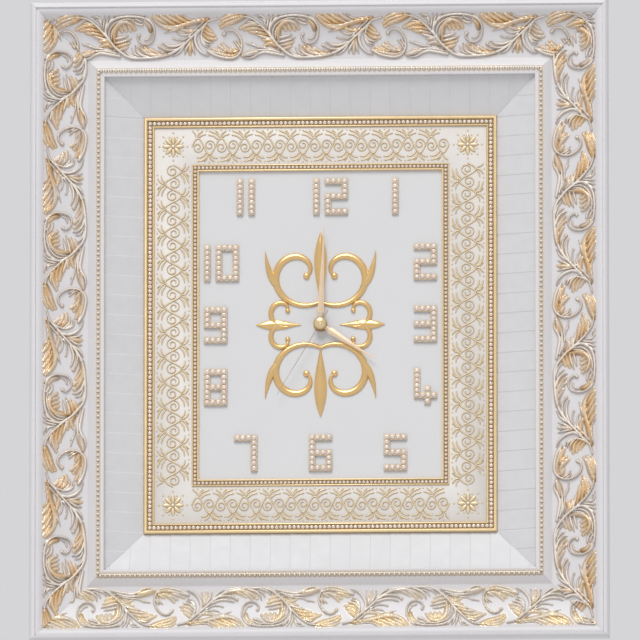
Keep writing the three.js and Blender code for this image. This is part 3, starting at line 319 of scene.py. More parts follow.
# These golds darken with the mark as painted shade: at the vine's foot, in the trims' channels and edges,
# and round the hub cap's foot
VINE_GOLD = marked("vine_gold", "flank", (0.90, 0.75, 0.50), (0.42, 0.28, 0.13), 0.34, 0.25)
TRIM_GOLD = marked("trim_gold", "flank", (0.91, 0.70, 0.40), (0.55, 0.38, 0.18), 0.36, 0.5)
HUB_GOLD = marked("hub_gold", "flank", (0.80, 0.62, 0.36), (0.20, 0.12, 0.05), 0.28, 0.6)
POLISHED_GOLD = plain("polished_gold", (0.80, 0.54, 0.24), 0.28, 0.8, patch=0.04, scale=30)
SATIN_GOLD = plain("satin_gold", (0.86, 0.66, 0.46), 0.36, 0.6, patch=0.04, scale=80)
NEEDLE_GOLD = plain("needle_gold", (0.46, 0.39, 0.31), 0.35, 0.6, patch=0.05, scale=80)
STONE_GLASS = stone_glass("stone_glass", 0.12, 0.3, (0.95, 0.87, 0.78), (0.52, 0.41, 0.28), 0.35)
FIGURE_GLASS = stone_glass("figure_glass", 0.25, 0.15, (0.94, 0.84, 0.76), (0.47, 0.37, 0.26), 0.0)
# The stones' cups are a deep brown: painted shade in the gaps between stones
STONE_CUP_SHADE = plain("stone_cup_painted_shade", (0.27, 0.17, 0.08), 0.4, 0.4, patch=0.12, scale=200)
FIGURE_METAL = plain("figure_metal", (0.66, 0.55, 0.42), 0.5, 0.1, patch=0.4, scale=700)
BRASS = plain("turned_brass", (0.66, 0.47, 0.18), 0.3, 0.9, patch=0.06, scale=200)
STEEL = plain("zinc_steel", (0.58, 0.60, 0.62), 0.35, 0.9, patch=0.08, scale=120)
BLACK_PLASTIC = plain("black_plastic", (0.018, 0.018, 0.02), 0.5, patch=0.25, scale=150, grain=0.25)
GEAR_PLASTIC = plain("gear_plastic", (0.80, 0.80, 0.76), 0.45, patch=0.03, scale=120)
RUBBER = plain("gasket_rubber", (0.02, 0.02, 0.02), 0.85, patch=0.3, scale=150, grain=0.3)
FIBREBOARD = fibreboard()
COPPER_WIRE = wound_copper()
PRINTED_BOARD = printed_board()
CELL_SLEEVE = cell_sleeve()


# Pieces
WELD_DISTANCE = 1e-6
NO_FACET = (0.5, 0.5)
LEAST_RISE_SHARE = 0.35


def weld(mesh):
    """Joins the doubled corners of a mesh's faces and points its faces outward."""
    work = bmesh.new()
    work.from_mesh(mesh)
    bmesh.ops.remove_doubles(work, verts=work.verts, dist=WELD_DISTANCE)
    bmesh.ops.recalc_face_normals(work, faces=work.faces)
    work.to_mesh(mesh)
    work.free()


class Piece:
    """Gathers the points and faces of one piece, then makes it a mesh that rides on its CAD body."""

    def __init__(self, name):
        self.name = name
        self.points = []
        self.faces = []
        self.slots = []
        self.facets = []
        self.marks = {}

    def add(self, points, faces, slot=0, facets=None, **marks):
        """Adds faces. Facets are a (tone, tint) for each face, the tone being a painted glint on stones, and
        marks are values for the points.
        """
        start = len(self.points)
        self.points.extend(tuple(point) for point in points)
        self.faces.extend(tuple(start + i for i in face) for face in faces)
        self.slots.extend([slot] * len(faces))
        self.facets.extend(facets or [NO_FACET] * len(faces))
        for name in set(marks) | set(self.marks):
            values = self.marks.setdefault(name, [0.0] * start)
            values.extend(marks.get(name, [0.0] * len(points)))

    def done(self, materials, nodes=(), body="clock_body", sharp=35.0, welded=False):
        mesh = bpy.data.meshes.new(self.name)
        drawn = np.array(self.points, float)
        placed = np.column_stack([drawn[:, 0], -drawn[:, 2], drawn[:, 1]]) * MM
        placed[:, 2] += CENTRE_Z
        mesh.from_pydata(placed.tolist(), [], self.faces)
        for material in materials:
            mesh.materials.append(material)
        mesh.polygons.foreach_set("material_index", self.slots)
        for name, values in self.marks.items():
            mesh.attributes.new(name, "FLOAT", "POINT").data.foreach_set("value", values)
        if set(self.facets) != {NO_FACET}:
            for name, values in zip(("tone_and_glint", "tint"), zip(*self.facets)):
                mesh.attributes.new(name, "FLOAT", "FACE").data.foreach_set("value", values)
        mesh.polygons.foreach_set("use_smooth", [True] * len(self.faces))
        mesh.update()
        if welded:
            weld(mesh)
        mesh.set_sharp_from_angle(angle=math.radians(sharp))
        mesh.validate()
        piece = bpy.data.objects.new(self.name, mesh)
        bpy.context.scene.collection.objects.link(piece)
        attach(piece, body)
        if nodes:
            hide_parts(*nodes)
        return piece


def turned(points, quarter_turns):
    """Drawn points, turned anticlockwise about the dial's middle by quarters."""
    points = np.array(points, float)
    for _ in range(quarter_turns):
        points[:, 0], points[:, 1] = -points[:, 1].copy(), points[:, 0].copy()
    return points


def arc(centre, radii, start, end, steps):
    """Points on an elliptic arc, by its angles in degrees."""
    points = []
    for i in range(steps + 1):
        angle = math.radians(start + (end - start) * i / steps)
        points.append((centre[0] + radii[0] * math.cos(angle), centre[1] + radii[1] * math.sin(angle)))
    return points


def circle(x, y, radius, height, sides, phase=0.0):
    """A loop of points about h, anticlockwise as seen from the front."""
    angles = [2 * math.pi * i / sides + phase for i in range(sides)]
    return [(x + radius * math.cos(angle), y + radius * math.sin(angle), height) for angle in angles]


def smooth_line(points, step):
    """Evenly spaced points on a smooth curve through the given ones."""
    points = np.array(points, float)
    ends = np.vstack([2 * points[0] - points[1], points, 2 * points[-1] - points[-2]])
    fine = []
    for a, b, c, d in zip(ends, ends[1:], ends[2:], ends[3:]):
        count = max(2, int(np.hypot(*(c - b)) / step))
        for t in np.arange(count) / count:
            bend = (2 * a - 5 * b + 4 * c - d) * t**2 + (3 * b - a - 3 * c + d) * t**3
            fine.append(0.5 * (2 * b + (c - a) * t + bend))
    fine.append(points[-1])
    return np.array(fine)


def loft(piece, rows, slot=0, ring=False, **marks):
    """A closed skin over rows, which are loops of points that run anticlockwise as seen from the last.

    A ring joins its last row to its first. Other skins have a cap at each end.
    """
    points = [point for row in rows for point in row]
    count = len(rows[0])
    faces = []
    for start in range(0, len(points) if ring else len(points) - count, count):
        for i in range(count):
            j = (i + 1) % count
            above = (start + count) % len(points)
            faces.append((start + i, start + j, above + j, above + i))
    if not ring:
        faces.append(tuple(reversed(range(count))))
        faces.append(tuple(range(len(points) - count, len(points))))
    piece.add(points, faces, slot, **marks)


def ribbon(piece, line, halves, section, base, slot=0, **marks):
    """A tapering raised stroke along a line. Its section is [share across, rise], from right to left."""
    along = np.gradient(line, axis=0)
    along /= np.hypot(along[:, 0], along[:, 1])[:, None]
    across = np.column_stack([-along[:, 1], along[:, 0]])
    rows = []
    for place, side, half in zip(line, across, halves):
        swell = min(1.0, half / halves.max() + LEAST_RISE_SHARE)
        rows.append([(*(place + side * share * half), base + rise * swell) for share, rise in section])
    loft(piece, rows, slot, **{name: np.tile(values, len(rows)) for name, values in marks.items()})


def lathe(piece, profile, middle, sides, slot=0, ring=False, **marks):
    """A turned form about h through the middle. The profile is [radius, h], from back to front."""
    rows = [circle(*middle, radius, height, sides) for radius, height in profile]
    loft(piece, rows, slot, ring, **{name: np.repeat(values, sides) for name, values in marks.items()})


def border(piece, section, width, height, **marks):
    """A rectangular ring of one closed section, which is [distance in, h] and runs from outside in."""
    rows = []
    for inset, rise in section:
        x, y = width / 2 - inset, height / 2 - inset
        rows.append([(-x, -y, rise), (x, -y, rise), (x, y, rise), (-x, y, rise)])
    loft(piece, rows, ring=True, **{name: np.repeat(values, 4) for name, values in marks.items()})


# The carving: one stretch of a running acanthus scroll that repeats along the rails. Each stroke is
# its form, width, gold and points, as [distance along, distance in from the frame's outer edge].
PERIOD = 163.5
STEM, LOBE, CURL = "stem", "lobe", "curl"
CARVING = (
    # The main stem's wave
    (STEM, 2.6, 0.35, ((28, 17), (38, 20), (45, 26.5), (52, 32.5), (58, 38), (63.5, 43), (70, 47.8),
        (78, 51.3), (88, 53.8), (98, 54.8), (107, 55), (114, 54.6), (121, 52), (126.7, 47.6),
        (132.3, 42.6), (137.2, 36.3), (142, 30.7), (149, 23.7), (156, 18.3), (162, 16), (168.5, 15.5))),
    (STEM, 1.6, 0.3, ((39, 17.5), (47, 23.8), (54, 30.5), (59, 35.4))),
    (STEM, 1.5, 0.2, ((41, 23.7), (48.5, 31), (50, 36))),
    # The small scroll
    (LOBE, 2.4, 0.3, ((50.5, 31), (51, 38), (48.3, 45.3), (43, 50.6), (37, 53))),
    (CURL, 2.8, 0.5, ((38, 48.3), (30.5, 52.5), (21, 55), (13.5, 55.2), (8, 52.3), (5, 47), (4.4, 41.5),
        (6, 35.8), (9.5, 30.8), (14.3, 28), (19.3, 28.8), (22, 32))),
    (LOBE, 2.8, 1.0, ((7.5, 50.5), (15, 53), (26.5, 51), (38, 48.2))),
    (LOBE, 2.6, 1.0, ((9, 49.5), (16.5, 48.5), (21, 45), (24, 41))),
    (LOBE, 2.2, 1.0, ((8, 48.5), (11.5, 47.5), (14.3, 45.8))),
    (LOBE, 2.2, 1.0, ((20, 49.5), (28, 48.5), (34.3, 45.4))),
    (LOBE, 2.0, 1.0, ((16, 49), (22, 47), (27, 43.5))),
    (LOBE, 1.6, 0.7, ((6.5, 47), (8.5, 42.5), (12.8, 38.8))),
    (LOBE, 1.5, 0.6, ((5.6, 44), (7, 41), (9.6, 38.2))),
    # The fan beside it
    (STEM, 1.8, 0.3, ((39, 21), (42.8, 26.5), (45, 33.5), (44.2, 39), (41.3, 43), (37.8, 44))),
    (LOBE, 1.8, 0.5, ((44.5, 36.5), (41, 41), (36, 42.5))),
    (LOBE, 1.9, 0.6, ((44.8, 33.5), (40, 38.5), (33, 39.8))),
    (LOBE, 2.1, 0.9, ((44, 30.5), (38, 35.5), (30.3, 36.3))),
    (LOBE, 2.1, 1.0, ((43, 27.5), (38, 31.2), (31.6, 33))),
    (LOBE, 1.9, 1.0, ((41.5, 24), (38, 27.3), (34.4, 29.4))),
    # The palmette and the hooked leaf on the rising stem
    (LOBE, 1.7, 0.4, ((54, 37), (53, 45.5), (51.2, 51.8))),
    (LOBE, 2.8, 1.0, ((54.5, 37.5), (56, 44.5), (56.3, 51))),
    (LOBE, 1.9, 0.4, ((56, 39), (60, 46), (61.5, 51.5))),
    (LOBE, 1.7, 0.4, ((62, 43), (67, 49.3), (73.5, 53))),
    (CURL, 2.6, 0.7, ((64, 43.2), (69, 46.2), (75, 47.2), (81.5, 46.2), (86.5, 43.3))),
    (LOBE, 2.0, 0.5, ((62, 40), (70, 43), (77.5, 42.8), (84, 40.2))),
    (CURL, 1.5, 0.3, ((55.5, 33.5), (61.5, 36.5), (67.5, 37), (72.5, 35.7))),
    (LOBE, 1.4, 0.3, ((53.5, 31), (61, 32.3), (66.5, 31.5), (70, 29.5))),
    (LOBE, 1.9, 0.9, ((47, 27.5), (55, 29), (64, 27))),
    # The long gold leaf by the outer edge
    (LOBE, 3.0, 1.0, ((38, 18.4), (52.5, 20.3), (61, 22.5), (70, 24.5), (81, 24), (88, 20.6),
        (92.6, 15.6))),
    (LOBE, 2.4, 1.0, ((60, 23), (72, 26.3), (82.5, 24.8))),
    (LOBE, 2.2, 0.9, ((57, 20.8), (64.5, 17.5), (69.5, 13.8))),
    (LOBE, 2.4, 1.0, ((63, 22), (72, 18), (78.5, 14))),
    (LOBE, 2.4, 1.0, ((70, 22.8), (78.5, 18.5), (85, 14.2))),
    (LOBE, 2.2, 1.0, ((78, 22.5), (86, 17.9), (91.5, 14.4))),
    (STEM, 1.4, 0.6, ((40, 16.6), (52.5, 18), (58.5, 17), (63, 14))),
    (LOBE, 1.3, 0.3, ((62, 24.5), (72, 27.6), (81, 30.5))),
    # The gold leaf that curls over from the top of the wave
    (LOBE, 2.8, 1.0, ((78, 51.3), (88, 52.4), (96, 51.2), (102, 48), (106.5, 44))),
    (LOBE, 1.9, 0.9, ((84, 51.8), (90, 49.5), (95.5, 46))),
    (LOBE, 2.2, 1.0, ((91, 51.5), (98, 47.8), (101.5, 43.5))),
    (LOBE, 2.2, 0.5, ((97, 54), (105, 51.5), (109.5, 47), (110.8, 42.4))),
    (LOBE, 1.5, 0.3, ((106.5, 53), (112, 50), (114.5, 45))),
    (LOBE, 1.6, 0.3, ((108.5, 54), (116, 52), (120, 48.5), (121.5, 45.5))),
    # The large scroll that comes back from the falling stem
    (CURL, 2.6, 0.35, ((137.5, 36.5), (140.3, 29), (137.5, 21.8), (131, 17), (122, 15), (112, 14.8),
        (103, 16), (96, 19.5), (92, 25.5), (91.8, 32), (93.5, 37.5), (97.5, 40.7), (102.5, 41),
        (106.5, 38.5), (108.3, 35), (107, 32.5))),
    (STEM, 1.8, 0.3, ((136, 37), (137, 29.5), (133.5, 23), (127, 18.9), (119, 17), (110, 17.6))),
    (STEM, 1.6, 0.3, ((134.3, 37), (134, 29.5), (131, 24.5), (126, 21.3))),
    (LOBE, 3.2, 1.0, ((131, 39.5), (131.8, 31.5), (130, 25), (125, 20.6), (119.5, 20), (114.5, 22.3),
        (111, 26.8))),
    (LOBE, 2.0, 1.0, ((119, 20.8), (116.8, 24), (115, 28))),
    (LOBE, 2.0, 1.0, ((123.4, 21), (121.2, 24.3), (119.6, 28.2))),
    (LOBE, 1.8, 0.9, ((127.2, 22.6), (125, 25.6), (123.8, 28.6))),
    (LOBE, 2.0, 1.0, ((128.8, 47), (123.5, 45.7), (119, 43.8))),
    (LOBE, 2.1, 1.0, ((130.3, 43.5), (123.8, 42), (117, 39.6))),
    (LOBE, 2.0, 0.6, ((131.5, 40), (123.8, 38.4), (114.6, 35.6))),
    (LOBE, 1.8, 0.4, ((131.5, 36), (125, 34.4), (117.6, 32.6))),
    (STEM, 1.4, 0.4, ((94.5, 30.7), (97, 35.6), (101.5, 37))),
    (LOBE, 2.0, 1.0, ((95.2, 28), (96.6, 23), (101, 18.8))),
    (LOBE, 1.7, 0.5, ((92.6, 23), (96.4, 18), (101.5, 14.4))),
    (LOBE, 1.7, 0.4, ((103, 22.6), (109, 21.3), (113.6, 17.2))),
    (LOBE, 1.5, 0.4, ((103.6, 19.6), (108, 17.9), (111.4, 14.8))),
    # Small lobes under the falling stem
    (LOBE, 1.7, 0.3, ((138.2, 24.5), (135.3, 18.4), (130.6, 14.2))),
    (LOBE, 1.7, 0.3, ((140.6, 26), (138.6, 19), (136, 13.8))),
    (LOBE, 1.6, 0.3, ((142.6, 26), (141.6, 19.4), (140.4, 13.8))),
    (LOBE, 1.5, 0.3, ((144, 24), (146, 18.6), (151, 16.6))),
    (LOBE, 1.4, 0.3, ((143.6, 20), (147, 15.4), (154, 14.6))),
    # The gold leaf on the falling stem
    (LOBE, 2.2, 1.0, ((133.5, 44), (137.6, 41.2), (141, 41), (145.5, 43.2))),
    (LOBE, 2.2, 0.9, ((136, 40), (141, 37.6), (146.4, 37.4))),
    (LOBE, 2.2, 0.7, ((139, 36.5), (147, 34.4), (154, 32.2))),
    (LOBE, 2.4, 1.0, ((142.5, 32.8), (151.5, 30.4), (159.5, 29.6))),
    (LOBE, 2.4, 1.0, ((146, 28.7), (155.5, 26.2), (165, 27.4))),
    (LOBE, 2.6, 1.0, ((150, 24.4), (159.5, 22.8), (169.6, 26.4))),
    (LOBE, 1.8, 0.8, ((153, 21.8), (159, 20.4), (164, 21.4))),
    # The leaf and the tendril above it
    (LOBE, 2.4, 0.4, ((126, 53), (136, 50.9), (145, 49.6), (151.5, 51.4), (156.5, 54.4), (162, 55.3),
        (168.5, 53))),
    (LOBE, 4.2, 1.0, ((152, 49.6), (158, 50.8), (162.5, 52.2), (167.5, 53))),
    (LOBE, 2.0, 0.5, ((130, 50), (140, 47.4), (150, 47.5), (157, 48.6), (163.5, 50.4))),
    (STEM, 1.5, 0.3, ((132, 47.5), (142, 45.3), (150.5, 44.6), (157.5, 42.2), (163.5, 40.6))),
    (LOBE, 1.2, 0.3, ((152, 44.4), (155, 42.8), (158, 40.2))),
    # The gold leaf at the foot of the wave
    (LOBE, 2.6, 1.0, ((1.5, 15.4), (10, 18.8), (18, 21.4), (25, 25.4))),
    (LOBE, 2.6, 1.0, ((4, 15), (14, 17), (21, 19), (26, 22.6))),
    (LOBE, 2.2, 0.9, ((8, 14.4), (17, 15), (24.6, 17.8))),
    (LOBE, 1.5, 0.7, ((9, 18.6), (12.4, 20), (14.4, 22.6))),
)
RELIEF_STEP = 0.3
STROKE_STEP = 0.35
ACROSS = np.arange(CARVED[0], CARVED[1] + RELIEF_STEP, RELIEF_STEP)
ALONG = np.arange(0, PERIOD, RELIEF_STEP)
LOBE_SWELL = 1.38
STEM_SWELL = 1.1
STROKE_FOOT = 0.6
RISE_PER_WIDTH = 1.05
EYE_SHARE = 0.62
RIM_FADE = 1.2
# Lobes with more gold than this make up a gold leaf, which lies on a low body of its own
LEAF_GOLD = 0.8
BODY_RISE = 1.3
BODY_MARGIN = 1.1
# Painted shade with some brown glaze darkens: at a body's root and tip, at a lobe's root, beside strokes and
# on the plain rows
BODY_FLANK = (0.9, 0.18)
ROOT_FLANK = 0.64
FOOT_FLANK = 0.85
FLANK_FADE = 1.1
# Painted shade on the cove's ground, the riser and the bead ridge, and painted shadow under the lip and
# under the bottom rail's beads
GROUND_FLANK = 0.04
RISER_PAINTED_SHADE = 0.16
RIDGE_PAINTED_SHADE = 0.3
BOTTOM_RIDGE_PAINTED_SHADOW = 0.9
LIP_PAINTED_SHADOW = 0.6
# Gold marks: on the bead ridge, beside gold strokes, and how the rubbing goes from outer to inner edge
RIDGE_GOLD = 0.45
HALO_GOLD = 0.6
RUBBED_GOLD = (1.28, 0.8)


def stroke_halves(form, width, count):
    """Half widths along a stroke, from its root to its tip."""
    t = np.linspace(0, 1, count)
    if form == STEM:
        return width / 2 * (0.5 + 0.5 * np.minimum(1, 5 * np.minimum(t, 1 - t)))
    if form == CURL:
        return width / 2 * (1 - 0.45 * t)
    return width / 2 * np.maximum(0.12, np.sin(math.pi * (0.2 + 0.8 * t))) ** 0.8


def press(charts, line, halves, top, leaf_gold, root_flank=0.0, tip_flank=0.0):
    """Presses one stroke into the charts of rise, gold and painted shade with glaze, also where the next
    stretch shows it.
    """
    rise, gold, flank = charts
    reach = halves.max() + FLANK_FADE
    least_flank = np.linspace(root_flank, tip_flank, len(line))
    for shift in (-PERIOD, 0, PERIOD):
        placed = line + (shift, 0)
        low, high = placed.min(axis=0) - reach, placed.max(axis=0) + reach
        columns = np.where((ALONG > low[0]) & (ALONG < high[0]))[0]
        rows = np.where((ACROSS > low[1]) & (ACROSS < high[1]))[0]
        if not len(columns) or not len(rows):
            continue
        window = np.ix_(rows, columns)
        x = ALONG[columns][None, :, None] - placed[:, 0]
        y = ACROSS[rows][:, None, None] - placed[:, 1]
        apart = np.hypot(x, y)
        nearest = (apart / halves).argmin(axis=2)
        share = (apart / halves).min(axis=2)
        beyond = (apart - halves).min(axis=2)
        height = top * np.maximum(0, 1 - share**1.7) ** 0.8
        # Painted shade with some glaze: from a lobe's root, towards the stroke's sides, and on the ground
        # beside it
        inner = np.maximum(least_flank[nearest], np.minimum(share, 1) ** 2.8)
        outer = FOOT_FLANK * np.clip(1 - beyond / FLANK_FADE, 0, 1)
        edge = np.where(share < 1, inner, outer)
        halo = HALO_GOLD * leaf_gold * edge
        wins = height > rise[window]
        bare = rise[window] <= 0
        flank[window] = np.where(wins | (bare & (edge > flank[window])), edge, flank[window])
        gold[window] = np.where(wins, leaf_gold, np.where(bare & (halo > gold[window]), halo, gold[window]))
        rise[window] = np.maximum(rise[window], height)


def carve():
    """Maps of one stretch of the carving: its rise, gold, and painted shade with glaze."""
    charts = [np.zeros((len(ACROSS), len(ALONG))) for _ in range(3)]
    for form, width, leaf_gold, points in CARVING:
        line = smooth_line(points, STROKE_STEP)
        swell = LOBE_SWELL if form == LOBE else STEM_SWELL
        halves = stroke_halves(form, swell * width, len(line))
        leaf = form == LOBE and leaf_gold > LEAF_GOLD
        if leaf:
            press(charts, line, halves + BODY_MARGIN, BODY_RISE, leaf_gold, *BODY_FLANK)
        if form == CURL:
            # The end point comes twice, the second time with the curl's round eye
            line = np.vstack([line, line[-1:]])
            halves = np.append(halves, EYE_SHARE * width)
        top = STROKE_FOOT + RISE_PER_WIDTH * width
        press(charts, line, halves, top, leaf_gold, ROOT_FLANK if leaf else 0.0)
    inside = np.minimum(ACROSS - CARVED[0], CARVED[1] - ACROSS)
    rise, gold, flank = [chart * np.clip(inside / RIM_FADE, 0, 1)[:, None] for chart in charts]
    # Painted shade on the cove's ground, and more past the cove on the riser
    ground = np.where(ACROSS < COVE_END[0], GROUND_FLANK, RISER_PAINTED_SHADE)[:, None]
    rubbed = np.interp(ACROSS, CARVED, RUBBED_GOLD)[:, None]
    return rise, gold * rubbed, np.maximum(flank, ground)


RELIEF_MAPS = carve()


def relief_at(distance, inset):
    """Rise, gold, and painted shade with glaze of the carving at places along a rail, at one distance in."""
    along = np.mod(distance, PERIOD) / PERIOD * len(ALONG)
    left = np.floor(along).astype(int) % len(ALONG)
    share = along - np.floor(along)
    across = min((inset - CARVED[0]) / RELIEF_STEP, len(ACROSS) - 1.001)
    low = int(across)
    samples = []
    for chart in RELIEF_MAPS:
        row = chart[low] * (1 - across + low) + chart[low + 1] * (across - low)
        samples.append(row[left] * (1 - share) + row[(left + 1) % len(ALONG)] * share)
    return samples


def cove_height(inset):
    """Height of the rail's ground between its fillet and its riser."""
    (x0, h0), (x2, h2) = COVE_START, COVE_END
    if inset < x0:
        return FILLET_HEIGHT + (h0 - FILLET_HEIGHT) * (inset - FILLET_END) / (x0 - FILLET_END)
    if inset > x2:
        return h2 + (RISER_END[1] - h2) * (inset - x2) / (RISER_END[0] - x2)
    return h2 + (h0 - h2) * ((x2 - inset) / (x2 - x0)) ** 2


# Rails
COVE_ROWS = 80
COLUMN_STEP = 0.62
# The hanger's pocket in the back of the top rail: half width, half height, depth, then its deep middle
NAIL_INSET = 33
PLATE_POCKET = (23.3, 7.3, 3.2)
NAIL_POCKET = (11, 13)


def rail_outline():
    """The plain parts of a rail's section, outside and inside its carved cove."""
    outside = [(SIDE_UNDERCUT, 0)]
    outside += arc((SHOULDER[0], FRAME_DEPTH - SHOULDER[1]), SHOULDER, 180, 90, 8)
    outside += [(RIM_END, FRAME_DEPTH), (STEP_END, FILLET_HEIGHT), (FILLET_END, FILLET_HEIGHT)]
    start, end = BEAD_RIDGE
    radii = (RIDGE_ROUND_SHARE * (end - start) / 2, RIDGE_RISE)
    inside = [RISER_END, (start, BEAD_SEAT_HEIGHT)]
    inside += arc(((start + end) / 2, BEAD_SEAT_HEIGHT), radii, 180, 0, 6)
    inside += [(end, BEAD_SEAT_HEIGHT)]
    inside += arc((LIP_END - LIP_ROUND, BEAD_SEAT_HEIGHT - LIP_ROUND), (LIP_ROUND, LIP_ROUND), 90, 0, 4)
    inside += [(LIP_END, LIP_UNDERSIDE), (RABBET, LIP_UNDERSIDE), (RABBET, 0)]
    return outside, inside


def plain_marks(inset, height, ridge_painted_shade):
    """Gold and painted-shade marks on a plain row of a rail: shade on the bead ridge and the riser, and
    under the lip.
    """
    if BEAD_RIDGE[0] <= inset <= BEAD_RIDGE[1] and height > LIP_UNDERSIDE:
        return RIDGE_GOLD, ridge_painted_shade
    if inset > BEAD_RIDGE[1] and height == LIP_UNDERSIDE:
        return 0.0, LIP_PAINTED_SHADOW
    return 0.0, RISER_PAINTED_SHADE if inset == RISER_END[0] else 0.0


def hanger_pocket(corners, outer):
    """The top rail's back face, between its four corner points, with the hanger's stepped pocket."""
    half, rise, shallow = PLATE_POCKET
    deep_half, deep = NAIL_POCKET
    low, high = outer + NAIL_INSET - rise, outer + NAIL_INSET + rise
    points = [*corners, (-half, low, 0), (half, low, 0), (half, high, 0), (-half, high, 0)]
    steps = ((-half, shallow), (-deep_half, shallow), (deep_half, shallow), (half, shallow))
    for x, depth in (*steps, (-deep_half, deep), (deep_half, deep)):
        points += [(x, low, depth), (x, high, depth)]
    faces = [(0, 3, 7, 4), (1, 0, 4, 5), (2, 1, 5, 6), (3, 2, 6, 7)]
    faces += [(8, 10, 11, 9), (12, 14, 15, 13), (16, 18, 19, 17), (10, 16, 17, 11), (18, 12, 13, 19)]
    faces += [(4, 8, 9, 7), (6, 15, 14, 5), (5, 14, 12, 18, 16, 10, 8, 4), (7, 9, 11, 17, 19, 13, 15, 6)]
    return points, [face[::-1] for face in faces]


def carved_rail(side):
    """One mitred rail. Its cove is a fine mesh with the carving, and its other rows run straight."""
    turns, length, other, phase = SIDES[side]
    # The bottom rail's bead ridge gets a darker painted shadow, under its beads
    ridge_painted_shade = BOTTOM_RIDGE_PAINTED_SHADOW if side == "bottom" else RIDGE_PAINTED_SHADE
    outside, inside = rail_outline()
    columns = int(length / COLUMN_STEP)
    points, gold, flank, rows = [], [], [], []

    def add_row(inset, xs, heights, row_gold, row_flank):
        rows.append(range(len(points), len(points) + len(xs)))
        points.extend((x, inset - other / 2, height) for x, height in zip(xs, heights))
        gold.extend(row_gold)
        flank.extend(row_flank)

    def plain_rows(section):
        for inset, height in section:
            reach = length / 2 - inset - MITRE_RETREAT
            row_gold, row_flank = plain_marks(inset, height, ridge_painted_shade)
            add_row(inset, (-reach, reach), [height] * 2, [row_gold] * 2, [row_flank] * 2)

    plain_rows(outside)
    for inset in np.linspace(*CARVED, COVE_ROWS):
        x = np.linspace(-1, 1, columns) * (length / 2 - inset - MITRE_RETREAT)
        rise, row_gold, row_flank = relief_at(x + length / 2 - phase, inset)
        add_row(inset, x, cove_height(inset) + rise, row_gold, row_flank)
    plain_rows(inside)

    faces = []
    for row, above in zip(rows, rows[1:]):
        if len(row) == len(above):
            faces += zip(row, row[1:], above[1:], above)
        else:
            faces.append((*row, *reversed(above)))
    faces.append(tuple(row[0] for row in rows))
    faces.append(tuple(row[-1] for row in reversed(rows)))
    back = (rows[-1][0], rows[-1][1], 1, 0)
    piece = Piece(f"carved_rail_{side}")
    if side == "top":
        pocket_points, pocket_faces = hanger_pocket([points[i] for i in reversed(back)], -other / 2)
        piece.add(turned(points, turns), faces, gold=gold, flank=flank)
        piece.add(turned(pocket_points, turns), pocket_faces)
    else:
        piece.add(turned(points, turns), [*faces, back], gold=gold, flank=flank)
    lacquer = CARVING_SHADED_FOR_BOTTOM if side == "bottom" else CARVING_SHADED_FOR_TOP_AND_SIDES
    piece.done([lacquer], [f"frame_rail_{side}"], sharp=50, welded=side == "top")


BEAD_PITCH = 4.93
BEAD_RADIUS = 1.85
BEAD_NARROWING = 0.92
BEAD_HEIGHT = 46.5
BEAD_END_GAP = 0.6
BEAD_RINGS = 7
BEAD_SIDES = 10


def bead_row(side):
    """A row of round beads along the ridge of one rail, with painted shade between them and at their foot.
    """
    turns, length, other, _ = SIDES[side]
    piece = Piece(f"bead_row_{side}")
    inset = sum(BEAD_RIDGE) / 2
    reach = length / 2 - inset - BEAD_RADIUS - BEAD_END_GAP
    for x in np.linspace(-reach, reach, int(2 * reach / BEAD_PITCH) + 1):
        rows, flank = [], []
        for level in range(BEAD_RINGS):
            tilt = math.pi * ((level + 0.5) / BEAD_RINGS - 0.5)
            row = np.array(circle(0, 0, math.cos(tilt), math.sin(tilt), BEAD_SIDES))
            # Painted shade: darker towards each bead's ends along the row and towards its foot
            flank += [max(min(1.0, 1.3 * abs(along) ** 1.4), 0.5 - 0.6 * up) for along, _, up in row]
            row *= (BEAD_RADIUS, BEAD_RADIUS * BEAD_NARROWING, BEAD_RADIUS)
            rows.append(turned(row + (x, inset - other / 2, BEAD_HEIGHT), turns))
        loft(piece, rows, flank=flank)
    piece.done([BEAD_GOLD], sharp=80)


for side_name in SIDES:
    carved_rail(side_name)
    bead_row(side_name)


# Liner: four mitred slopes of lapped strips
LINER_TOP = (73.4, 40.9)
LINER_FOOT = (112.3, 26.3)
LINER_SOLE = 25.1
LINER_FLANGE = (58.3, 37.9)
LINER_UNDERSIDE = (71.9, 108.1)
STRIP_PITCH = 19.9
STEP_HALF = 0.5
STEP_FALL = 0.38
STEP_MARGIN = 2
STEP_TONE = 0.7
STRIP_TONES = (0.85, 1.0)


def liner_columns(full, corner):
    """Places along a liner panel where its slope bends, each with how far it lies below the slope."""
    columns = {-full: 0.0, full: 0.0, -corner: 0.0, corner: 0.0}
    half_count = int(full / STRIP_PITCH) + 1
    for i in range(-half_count, half_count + 1):
        middle = (i + 0.5) * STRIP_PITCH
        near_corner = abs(abs(middle) - corner) < 2 * STEP_HALF
        for x, fall in ((middle - STEP_HALF, STEP_FALL), (middle + STEP_HALF, 0.0)):
            if abs(x) < full - STEP_MARGIN and not near_corner:
                columns[x] = fall
    return dict(sorted(columns.items()))


